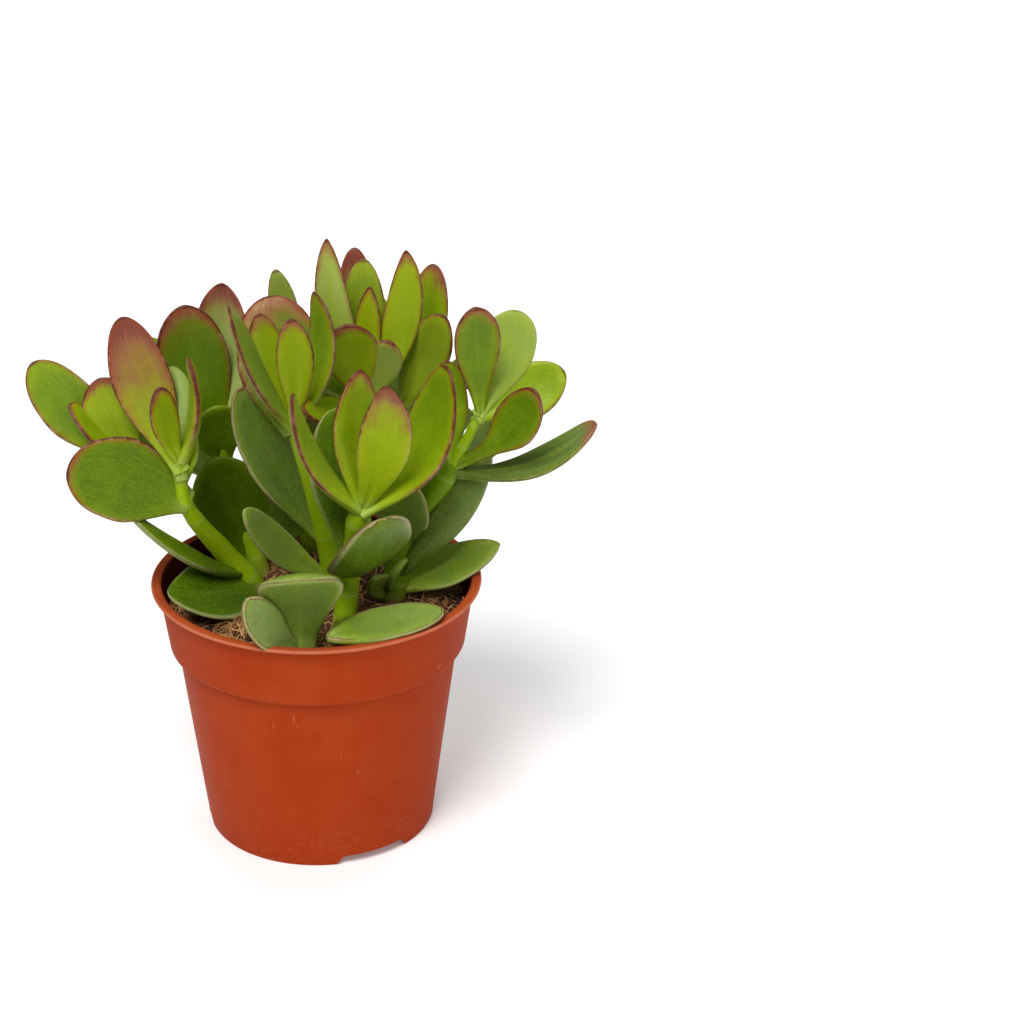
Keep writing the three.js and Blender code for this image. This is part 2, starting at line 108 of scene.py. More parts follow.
class Wire:
    def __init__(self, tree, socket=None):
        self.tree = tree
        self.socket = socket

    def node(self, kind, settings=None, inputs=None, out=0):
        made = self.tree.nodes.new(kind)
        for key, value in (settings or {}).items():
            if key == "stops":
                while len(made.color_ramp.elements) < len(value):
                    made.color_ramp.elements.new(0.5)
                for element, (place, colour) in zip(made.color_ramp.elements, value):
                    element.position = place
                    element.color = (*colour, 1)
            else:
                setattr(made, key, value)
        for key, value in (inputs or {}).items():
            if isinstance(value, Wire):
                self.tree.links.new(value.socket, made.inputs[key])
            else:
                made.inputs[key].default_value = value
        return Wire(self.tree, made.outputs[out])

    def maths(self, operation, first, second=0.0):
        return self.node("ShaderNodeMath", {"operation": operation}, {0: first, 1: second})

    def __add__(self, other):
        return self.maths("ADD", self, other)

    __radd__ = __add__

    def __mul__(self, other):
        return self.maths("MULTIPLY", self, other)

    __rmul__ = __mul__

    def __sub__(self, other):
        return self.maths("SUBTRACT", self, other)

    def __rsub__(self, other):
        return self.maths("SUBTRACT", other, self)

    def __abs__(self):
        return self.maths("ABSOLUTE", self)

    def orMore(self, other):
        return self.maths("MAXIMUM", self, other)

    def step(self, low, high):  # 0 at low, 1 at high, smooth between them
        return self.node("ShaderNodeMapRange", {"interpolation_type": "SMOOTHSTEP"},
                         {"Value": self, "From Min": low, "From Max": high})

    def blend(self, first, second):  # from the first colour to the second as self goes from 0 to 1
        return self.node("ShaderNodeMix", {"data_type": "RGBA"}, {0: self, 6: first, 7: second}, out=2)

    def part(self, index):
        return self.node("ShaderNodeSeparateXYZ", {}, {0: self}, out=index)

    def scaled(self, x, y, z):
        return self.node("ShaderNodeVectorMath", {"operation": "MULTIPLY"}, {0: self, 1: (x, y, z)})

    def moved(self, other):
        return self.node("ShaderNodeVectorMath", {"operation": "ADD"}, {0: self, 1: other})

    def attribute(self, name, out="Fac"):
        return self.node("ShaderNodeAttribute", {"attribute_name": name}, {}, out=out)

    def objectPlace(self):
        return self.node("ShaderNodeTexCoord", {}, {}, out="Object")

    def noise(self, place, scale, detail=2.0, roughness=0.5):
        return self.node("ShaderNodeTexNoise", {},
                         {"Vector": place, "Scale": scale, "Detail": detail, "Roughness": roughness})

    def cells(self, place, scale, randomness=1.0):
        return self.node("ShaderNodeTexVoronoi", {},
                         {"Vector": place, "Scale": scale, "Randomness": randomness})

    def bump(self, height, strength, distance):
        return self.node("ShaderNodeBump", {}, {"Height": height, "Strength": strength, "Distance": distance})


def rgb(red, green, blue):
    return (red, green, blue, 1)


def newMaterial(name, look, fixed=None):
    material = bpy.data.materials.new(name)
    material.use_nodes = True
    tree = material.node_tree
    shader = next(n for n in tree.nodes if n.type == "BSDF_PRINCIPLED")
    for key, value in (fixed or {}).items():
        shader.inputs[key].default_value = value
    for key, wire in look(Wire(tree)).items():
        tree.links.new(wire.socket, shader.inputs[key])
    return material


# Pot

pot = {
    "rim": 60.0, "overhang": 2.4, "lip": 1.2, "wall": 1.4, "height": 97.0,
    "collarFoot": 54.2, "collarHeight": 25.0, "collarRound": 2.2,
    "wallTop": 51.2, "wallFoot": 42.0, "foot": 3.5, "floor": 1.6, "ring": 2.6,
    "slots": 3, "slotWidth": 24.0, "slotFlare": 3.0, "slotAngle": -63.5,
    "drains": 6, "drainRadius": 4.0, "drainCircle": 24.0,
    "sides": 160, "waviness": 0.16,
    "colour": rgb(0.355, 0.038, 0.007), "pale": rgb(0.48, 0.105, 0.032), "deep": rgb(0.30, 0.029, 0.006),
    "inside": rgb(0.085, 0.014, 0.008), "worn": rgb(0.58, 0.20, 0.11),
}
ledge = pot["height"] - pot["collarHeight"]
collarTop = pot["rim"] - pot["overhang"]
floorTop = pot["foot"] + pot["floor"]


def collarInside(z):
    rise = (z - ledge - pot["collarRound"]) / (pot["collarHeight"] - pot["collarRound"])
    return pot["collarFoot"] + (collarTop - pot["collarFoot"]) * rise - pot["wall"]


def wallInside(z):
    return pot["wallFoot"] + (pot["wallTop"] - pot["wallFoot"]) * min(z, ledge) / ledge - pot["wall"]


def arc(centreX, centreZ, radius, start, end, count):
    angles = [math.radians(start + (end - start) * i / (count - 1)) for i in range(count)]
    return [(centreX + radius * math.cos(a), centreZ + radius * math.sin(a)) for a in angles]


def turnedPiece(name, profile, sides):
    clearSelection()
    radius, height = profile[0]
    bpy.ops.mesh.primitive_circle_add(vertices=sides, radius=radius * mm, location=(0, 0, height * mm))
    piece = bpy.context.object
    piece.name = name
    bpy.ops.object.mode_set(mode="EDIT")
    bpy.ops.mesh.select_all(action="SELECT")
    for (oldRadius, oldHeight), (newRadius, newHeight) in zip(profile, profile[1:]):
        grow = newRadius / oldRadius
        bpy.ops.mesh.extrude_region_move(
            TRANSFORM_OT_translate={"value": (0, 0, (newHeight - oldHeight) * mm)})
        bpy.ops.transform.resize(value=(grow, grow, 1), center_override=(0, 0, newHeight * mm))
    bpy.ops.mesh.edge_face_add()
    bpy.ops.object.mode_set(mode="OBJECT")
    count = sides
    for vertex in piece.data.vertices:
        vertex.select = vertex.index < count
    for edge in piece.data.edges:
        edge.select = edge.vertices[0] < count and edge.vertices[1] < count
    for face in piece.data.polygons:
        face.select = False
    bpy.ops.object.mode_set(mode="EDIT")
    bpy.ops.mesh.edge_face_add()
    bpy.ops.mesh.select_all(action="SELECT")
    bpy.ops.mesh.normals_make_consistent(inside=False)
    bpy.ops.object.mode_set(mode="OBJECT")
    bpy.ops.object.transform_apply(location=True, rotation=True, scale=True)
    return piece


def cutAway(piece, cutters):
    for cutter in cutters:
        makeActive(piece)
        cut = piece.modifiers.new("cut", "BOOLEAN")
        cut.operation = "DIFFERENCE"
        cut.solver = "EXACT"
        cut.object = cutter
        bpy.ops.object.modifier_apply(modifier=cut.name)
        bpy.data.objects.remove(cutter)


def slotCutter(angle):
    clearSelection()
    width = pot["slotWidth"]
    bpy.ops.mesh.primitive_cube_add(size=1)
    cutter = bpy.context.object
    points = readPoints(cutter.data)
    flare = np.where(points[:, 2] < 0, width / 2 + pot["slotFlare"], width / 2)
    across = np.sign(points[:, 0]) * flare
    outward = pot["wallFoot"] + np.sign(points[:, 1]) * 2 * pot["ring"]
    height = np.where(points[:, 2] < 0, -1.0, pot["foot"] + 0.01)
    turn = math.radians(angle - 90)
    place = np.stack([across * math.cos(turn) - outward * math.sin(turn),
                      across * math.sin(turn) + outward * math.cos(turn), height], axis=1)
    writePoints(cutter.data, place * mm)
    return cutter


def drainCutter(angle):
    clearSelection()
    out = pot["drainCircle"] * mm
    bpy.ops.mesh.primitive_cylinder_add(
        vertices=32, radius=pot["drainRadius"] * mm, depth=8 * mm,
        location=(out * math.cos(angle), out * math.sin(angle), floorTop * mm))
    cutter = bpy.context.object
    bpy.ops.object.transform_apply(location=True, rotation=True, scale=True)
    return cutter


def makePot():
    height, wall, lip = pot["height"], pot["wall"], pot["lip"]
    bend = pot["collarRound"]
    inner = pot["wallFoot"] - pot["ring"]
    profile = [(0.5, pot["foot"]), (12, pot["foot"]), (30, pot["foot"]), (inner - 0.4, pot["foot"])]
    profile += [(inner, pot["foot"] - 0.4), (inner, 0.3), (inner + 0.3, 0), (pot["wallFoot"] - 0.5, 0)]
    profile += [(pot["wallFoot"] - 0.1, 0.15), (pot["wallFoot"] + 0.1, 0.6)]
    for z in (5, 12, 22, 34, 46, 58, 66, ledge - 1.2):
        profile.append((pot["wallFoot"] + (pot["wallTop"] - pot["wallFoot"]) * z / ledge, z))
    profile += [(pot["wallTop"] - 0.05, ledge - 0.4), (pot["wallTop"] + 0.35, ledge)]
    profile += arc(pot["collarFoot"] - bend, ledge + bend, bend, -90, 0, 7)
    for share in (0.12, 0.3, 0.5, 0.7, 0.88):
        z = ledge + bend + (pot["collarHeight"] - bend) * share
        profile.append((collarInside(z) + wall, z))
    profile += [(collarTop - 0.1, height - lip - 0.35), (collarTop + 0.3, height - lip)]
    profile += arc(pot["rim"] - lip / 2, height - lip / 2, lip / 2, -90, 90, 9)
    profile += [(collarTop - wall + 0.5, height), (collarTop - wall + 0.1, height - 0.2)]
    for share in (0.97, 0.8, 0.6, 0.4, 0.2, 0.06):
        z = ledge + bend + (pot["collarHeight"] - bend) * share
        profile.append((collarInside(z), z))
    profile += [(pot["collarFoot"] - wall - 0.6, ledge + bend - 0.6), (wallInside(ledge), ledge + wall)]
    for z in (64, 50, 36, 22, 10):
        profile.append((wallInside(z), z))
    profile += [(wallInside(floorTop), floorTop), (30, floorTop), (12, floorTop), (0.5, floorTop)]
    piece = turnedPiece("pot_shell", profile, pot["sides"])
    cutAway(piece, [slotCutter(pot["slotAngle"] + i * 360 / pot["slots"]) for i in range(pot["slots"])])
    cutAway(piece, [drainCutter((i + 0.5) * 2 * math.pi / pot["drains"]) for i in range(pot["drains"])])
    points = readPoints(piece.data)
    for i, (x, y, z) in enumerate(points):
        radius = math.hypot(x, y)
        if radius > 0.03:  # a thin moulded wall is never quite round
            swell = noise.noise(Vector((x * 28, y * 28, z * 16)))
            points[i, 0] *= 1 + pot["waviness"] * mm * swell / radius
            points[i, 1] *= 1 + pot["waviness"] * mm * swell / radius
    writePoints(piece.data, points)
    smoothByAngle(piece, 32)
    return piece


def potLook(w):
    place = w.objectPlace()
    height = place.part(2)
    radius = w.node("ShaderNodeVectorMath", {"operation": "LENGTH"}, {0: place.scaled(1, 1, 0)}, out="Value")
    normal = w.node("ShaderNodeNewGeometry", {}, {}, out="Normal")
    outward = w.node("ShaderNodeVectorMath", {"operation": "NORMALIZE"}, {0: place.scaled(1, 1, 0)})
    facing = w.node("ShaderNodeVectorMath", {"operation": "DOT_PRODUCT"}, {0: normal, 1: outward}, out="Value")
    inside = (0 - facing).step(0.1, 0.5)
    mottle = w.noise(place, 55, 4, 0.6).step(0.3, 0.75)
    cloud = w.noise(place, 14, 2).step(0.35, 0.7)
    colour = (mottle * 0.22).blend(pot["colour"], pot["pale"])
    colour = (cloud * 0.3).blend(colour, pot["deep"])
    # Painted highlight: a paler band along the rim's lip, and a pale line round the rim's outer edge
    lip = height.step((pot["height"] - 1.6) * mm, (pot["height"] - 0.3) * mm)
    colour = (lip * 0.42 * (1 - inside)).blend(colour, pot["pale"])
    # Painted highlight line round the outer edge of the rim, in the worn colour
    brimHighlight = radius.step((pot["rim"] - 0.9) * mm, (pot["rim"] - 0.3) * mm)
    brimHighlight = brimHighlight * height.step((pot["height"] - 2) * mm, (pot["height"] - 1.3) * mm)
    colour = (brimHighlight * (0.35 + 0.4 * mottle) * (1 - inside)).blend(colour, pot["worn"])
    # Fine scratches round and up the wall, and a few scuffs
    around = w.noise(place.scaled(40, 40, 900), 1.0, 3, 0.7).step(0.66, 0.74)
    broken = w.noise(place, 42, 1).step(0.52, 0.62)
    scratch = around * broken
    slant = w.noise(place.scaled(600, 600, 60), 1.0, 2, 0.6).step(0.69, 0.76) * w.noise(place, 30, 1).step(0.55, 0.66)
    scuff = w.cells(place.scaled(1, 1, 1.8), 34).step(0.1, 0.02) * w.noise(place, 260, 2).step(0.45, 0.6)
    marks = (scratch * 0.5).orMore(slant * 0.5).orMore(scuff * 0.6)
    colour = (marks * 0.8).blend(colour, pot["worn"])
    dust = w.noise(place, 500, 3, 0.7).step(0.5, 0.75) * height.step(0.03, 0.0)
    colour = (dust * 0.18).blend(colour, rgb(0.35, 0.2, 0.12))
    # Painted shade: the inner wall turned nearly black-maroon for the shade inside the pot, with some soil dust on it
    colour = (inside * 0.9).blend(colour, pot["inside"])
    grain = w.noise(place, 1400, 2, 0.6)
    roughness = 0.42 + 0.1 * cloud + 0.12 * mottle + 0.2 * marks + 0.2 * inside - 0.18 * lip
    height = grain * 0.25 + w.noise(place, 90, 2) * 0.9 - marks * 0.3
    return {"Base Color": colour, "Roughness": roughness, "Normal": w.bump(height, 0.22, 0.0003)}


potShell = makePot()
potPlastic = newMaterial("pot_plastic", potLook, {"Specular IOR Level": 0.03, "Specular Tint": rgb(1, 0.5, 0.3)})
potShell.data.materials.append(potPlastic)
dress(potShell, "pot_plastic", "pot")
print("pot done", len(potShell.data.polygons))


# Soil, with crumbs, coir and fine roots on it

soil = {
    "level": 87.5, "dip": 2.0, "mound": 2.5, "lump": 0.8, "gap": 0.3, "sides": 144, "rings": 46,
    "roughness": 1.7, "crumbs": 1300, "fibres": 760, "roots": 46,
    "clump": (-29, -28, 14, 2.6), "clumpShare": 0.22,
    "dark": rgb(0.036, 0.015, 0.006), "brown": rgb(0.17, 0.068, 0.024), "damp": rgb(0.012, 0.006, 0.004),
    "coir": rgb(0.66, 0.34, 0.12), "coirDark": rgb(0.24, 0.095, 0.032), "root": rgb(0.72, 0.48, 0.22),
}


def soilTop(x, y):
    out = math.hypot(x, y) / collarInside(soil["level"])
    lumps = math.sin(0.21 * x + 0.6) * math.cos(0.17 * y) + 0.6 * math.sin(0.11 * x - 0.31 * y)
    fine = noise.noise(Vector((x * 0.16, y * 0.16, 2.0))) + 0.6 * noise.noise(Vector((x * 0.45, y * 0.45, 5.0)))
    fine += 0.4 * noise.noise(Vector((x * 1.1, y * 1.1, 9.0)))
    edge = min(max((1 - out) * 12, 0), 1)
    clumpX, clumpY, clumpWide, clumpHigh = soil["clump"]
    near = math.exp(-((x - clumpX) ** 2 + (y - clumpY) ** 2) / (0.5 * clumpWide ** 2))
    return (soil["level"] + clumpHigh * near * edge + soil["mound"] * (1 - out * out) - soil["dip"] * out ** 6
            + soil["lump"] * lumps + soil["roughness"] * fine * edge)


def makeSoil():
    gap = soil["gap"]
    bend = pot["collarRound"]
    edge = collarInside(soil["level"] - soil["dip"] - 2 * soil["lump"]) - gap
    profile = [(0.5, floorTop + gap), (20, floorTop + gap), (wallInside(floorTop + gap) - gap, floorTop + gap)]
    profile += [(wallInside(40) - gap, 40), (wallInside(ledge) - gap, ledge + pot["wall"] + gap)]
    profile += [(collarInside(ledge + bend + 2) - gap, ledge + bend + 2.6)]
    profile += [(edge * (1 - i / soil["rings"]) + 0.4, soil["level"]) for i in range(soil["rings"])]
    piece = turnedPiece("potting_soil", profile, soil["sides"])
    points = readPoints(piece.data)
    top = points[:, 2] > (soil["level"] - 0.01) * mm
    points[top, 2] = [soilTop(x / mm, y / mm) * mm for x, y in points[top, :2]]
    writePoints(piece.data, points)
    smoothByAngle(piece, 60)
    return piece


def spotOnSoil(dice, reach):
    radius = reach * math.sqrt(dice.random())
    angle = dice.uniform(0, 2 * math.pi)
    x, y = radius * math.cos(angle), radius * math.sin(angle)
    if dice.random() < soil["clumpShare"]:  # more of it in the dry clump
        clumpX, clumpY, clumpWide, _ = soil["clump"]
        x, y = clumpX + x * clumpWide / reach, clumpY + y * clumpWide / reach
        inner = min(1, (reach - 2) / math.hypot(x, y))
        x, y = x * inner, y * inner
    return x, y, soilTop(x, y)


def makeCrumbs():
    dice = random.Random(11)
    clearSelection()
    bpy.ops.mesh.primitive_ico_sphere_add(subdivisions=2, radius=1)
    model = bpy.context.object
    bpy.ops.object.mode_set(mode="EDIT")
    bpy.ops.mesh.select_all(action="SELECT")
    bpy.ops.transform.resize(value=(1, 0.8, 0.65))
    bpy.ops.object.mode_set(mode="OBJECT")
    bpy.ops.object.transform_apply(location=True, rotation=True, scale=True)
    shape = readPoints(model.data)
    pieces = []
    for i in range(soil["crumbs"]):
        crumb = copyOf(model, "crumb")
        x, y, z = spotOnSoil(dice, collarInside(soil["level"]) - 2)
        size = dice.uniform(0.25, 0.8) + dice.random() ** 5 * 1.8
        turn = Matrix.Rotation(dice.uniform(0, 6.28), 3, "Z") @ Matrix.Rotation(dice.uniform(-1, 1), 3, "X")
        rough = np.array([1 + 0.45 * noise.noise(Vector(p) * 1.6 + Vector((i, 0, 0))) for p in shape])
        points = (shape * rough[:, None]) @ np.array(turn).T * size
        writePoints(crumb.data, (points + [x, y, z + 0.1 * size]) * mm)
        writeAttribute(crumb.data, "seed", np.full(len(points), dice.random()))
        pieces.append(crumb)
    bpy.data.objects.remove(model)
    piece = joined(pieces, "soil_crumbs")
    smoothByAngle(piece, 50)
    return piece


def strandOf(model, shape, name, line, thick, seed):
    strand = copyOf(model, name)
    line = np.array(line)
    share = shape[:, 2]
    steps = np.linspace(0, 1, len(line))
    centre = np.stack([np.interp(share, steps, line[:, i]) for i in range(3)], axis=1)
    way = np.gradient(line, axis=0)
    way /= np.linalg.norm(way, axis=1)[:, None]
    along = np.stack([np.interp(share, steps, way[:, i]) for i in range(3)], axis=1)
    side = np.cross(along, [0, 0, 1]) + 1e-6
    side /= np.linalg.norm(side, axis=1)[:, None]
    up = np.cross(side, along)
    width = thick / 2 * (1 - 0.6 * np.abs(2 * share - 1) ** 3)
    points = centre + side * (shape[:, 0] * width)[:, None] - up * (shape[:, 1] * width)[:, None]
    writePoints(strand.data, points * mm)
    writeAttribute(strand.data, "seed", np.full(len(points), seed))
    return strand


def tubeModel(sides, rows):
    clearSelection()
    bpy.ops.mesh.primitive_circle_add(vertices=sides, radius=1, fill_type="NGON")
    model = bpy.context.object
    bpy.ops.object.mode_set(mode="EDIT")
    bpy.ops.mesh.select_all(action="SELECT")
    for _ in range(rows):
        bpy.ops.mesh.extrude_region_move(TRANSFORM_OT_translate={"value": (0, 0, 1 / rows)})
    bpy.ops.mesh.select_all(action="SELECT")
    bpy.ops.mesh.normals_make_consistent(inside=False)
    bpy.ops.object.mode_set(mode="OBJECT")
    return model


def makeStrands(name, count, seed, length, thick, curl, lift):
    dice = random.Random(seed)
    rows = 9
    model = tubeModel(5, rows)
    shape = readPoints(model.data)
    reach = collarInside(soil["level"]) - 1.5
    pieces = []
    for i in range(count):
        x, y, _ = spotOnSoil(dice, reach - 1)
        heading = dice.uniform(0, 2 * math.pi)
        turn = dice.uniform(-curl, curl)
        sway = dice.uniform(0.2, 1)
        long = dice.uniform(*length)
        high = dice.uniform(-0.2, 0.5) + lift * dice.random() ** 3
        line = []
        for k in range(rows + 1):
            z = soilTop(x, y) + 0.25 + high * math.sin(math.pi * k / rows) + 0.5 * sway * math.sin(k * 1.3 + i)
            line.append((x, y, z))
            x += long / rows * math.cos(heading)
            y += long / rows * math.sin(heading)
            heading += turn + 0.5 * sway * math.sin(k * 2.1 + i)
            out = math.hypot(x, y)
            if out > reach:
                x *= reach / out
                y *= reach / out
        pieces.append(strandOf(model, shape, name, line, dice.uniform(*thick), dice.random()))
    bpy.data.objects.remove(model)
    piece = joined(pieces, name)
    smoothByAngle(piece, 60)
    return piece


def soilLook(w):
    place = w.objectPlace()
    crumbs = w.cells(place, 620)
    patches = w.noise(place, 90, 4, 0.65).step(0.35, 0.7)
    fibre = w.noise(place.scaled(260, 900, 300), 1.0, 3, 0.7).step(0.58, 0.7)
    other = w.noise(place.scaled(900, 240, 300), 1.0, 3, 0.7).step(0.6, 0.7)
    colour = patches.blend(soil["dark"], soil["brown"])
    colour = (crumbs.step(0.5, 0.15) * 0.5).blend(colour, soil["damp"])
    colour = (fibre.orMore(other) * 0.6).blend(colour, soil["coirDark"])
    height = crumbs * 0.8 + w.noise(place, 1500, 3, 0.7) * 0.6 + fibre * 0.5
    roughness = 0.82 + 0.15 * patches
    return {"Base Color": colour, "Roughness": roughness, "Normal": w.bump(height, 0.8, 0.0008)}


def crumbLook(w):
    place = w.objectPlace()
    seed = w.attribute("seed")
    grain = w.noise(place, 1300, 3, 0.7)
    colour = seed.step(0.2, 0.8).blend(soil["dark"], soil["brown"])
    colour = (seed.step(0.75, 0.97) * 0.8).blend(colour, soil["coirDark"])
    colour = (grain.step(0.5, 0.8) * 0.5).blend(colour, soil["coirDark"])
    return {"Base Color": colour, "Roughness": 0.8 + 0.15 * grain, "Normal": w.bump(grain, 0.7, 0.0005)}


def strandLook(light, dark):
    def look(w):
        place = w.objectPlace()
        seed = w.attribute("seed")
        streak = w.noise(place, 700, 3, 0.6)
        colour = seed.blend(dark, light)
        colour = (streak.step(0.45, 0.7) * 0.4).blend(colour, soil["coirDark"])
        return {"Base Color": colour, "Roughness": 0.62 + 0.25 * streak, "Normal": w.bump(streak, 0.5, 0.0002)}
    return look


soilBody = makeSoil()
soilBody.data.materials.append(newMaterial("potting_soil", soilLook, {"Specular IOR Level": 0.3}))
dress(soilBody, "soil", "soil")
crumbs = makeCrumbs()
crumbs.data.materials.append(newMaterial("soil_crumbs", crumbLook, {"Specular IOR Level": 0.3}))
dress(crumbs, "soil")
fibres = makeStrands("coir_fibres", soil["fibres"], seed=5, length=(4, 17), thick=(0.2, 0.5), curl=0.35, lift=2.6)
fibres.data.materials.append(newMaterial("coir", strandLook(soil["coir"], soil["coirDark"])))
dress(fibres, "soil")
roots = makeStrands("fine_roots", soil["roots"], seed=23, length=(10, 30), thick=(0.22, 0.4), curl=0.26, lift=4.5)
roots.data.materials.append(newMaterial("fine_root", strandLook(soil["root"], soil["coir"])))
dress(roots, "soil")
print("soil done")


# Jade plant

leafForms = {
    "spoon": {"widest": 0.68, "root": 0.22, "point": 0.5, "fill": 1.0},
    "ladle": {"widest": 0.66, "root": 0.24, "point": 0.52, "fill": 2.4},
    "oval": {"widest": 0.58, "root": 0.30, "point": 0.52, "fill": 1.0},
    "round": {"widest": 0.54, "root": 0.30, "point": 0.5, "fill": 0.65},
    "broad": {"widest": 0.50, "root": 0.45, "point": 0.5, "fill": 0.5},
    "pebble": {"widest": 0.50, "root": 0.12, "point": 0.5, "fill": 0.35},
    "fan": {"widest": 0.64, "root": 0.36, "point": 0.4, "fill": 0.9},
    "lance": {"widest": 0.52, "root": 0.36, "point": 0.68, "fill": 1.0},
    "acute": {"widest": 0.50, "root": 0.30, "point": 0.68, "fill": 0.9},
    "pointed": {"widest": 0.56, "root": 0.30, "point": 0.58, "fill": 1.0},
}
leafUsual = {
    "form": "oval", "bow": 2.0, "cup": 0.08, "sway": (0, 0, 0), "fold": 0.0, "blunt": 0.4, "thick": 4.4,
    "twist": 0.0, "age": 0.5, "blush": 0.0, "rim": 0.12, "cork": 0.0, "bloom": 0.1, "rib": 0.0,
}
plant = {
    "leafSegments": 32, "leafRings": 26, "leafSink": 1.8, "rootShare": 1.1, "tipShare": 0.6,
    "stemSides": 20, "stemRows": 60, "knuckle": 0.16, "knuckleLength": 1.8, "crownLength": 14,
    "young": rgb(0.30, 0.40, 0.004), "grown": rgb(0.120, 0.215, 0.001), "old": rgb(0.036, 0.088, 0.001),
    "deep": rgb(0.012, 0.036, 0.001), "lime": rgb(0.38, 0.46, 0.006), "under": rgb(0.09, 0.16, 0.008),
    "bloom": rgb(0.40, 0.47, 0.22), "base": rgb(0.32, 0.45, 0.008), "vein": rgb(0.34, 0.42, 0.02),
    "amber": rgb(0.30, 0.14, 0.010), "blush": rgb(0.28, 0.078, 0.058), "glow": rgb(0.27, 0.035, 0.005),
    "rim": rgb(0.085, 0.006, 0.010), "lip": rgb(0.46, 0.21, 0.19), "ripe": rgb(0.17, 0.025, 0.028),
    "dry": rgb(0.36, 0.36, 0.16), "cork": rgb(0.52, 0.37, 0.20), "corkDark": rgb(0.11, 0.035, 0.015),
    "stem": rgb(0.30, 0.44, 0.004), "stemPaleAndHighlight": rgb(0.36, 0.46, 0.10), "bark": rgb(0.14, 0.12, 0.03),
}
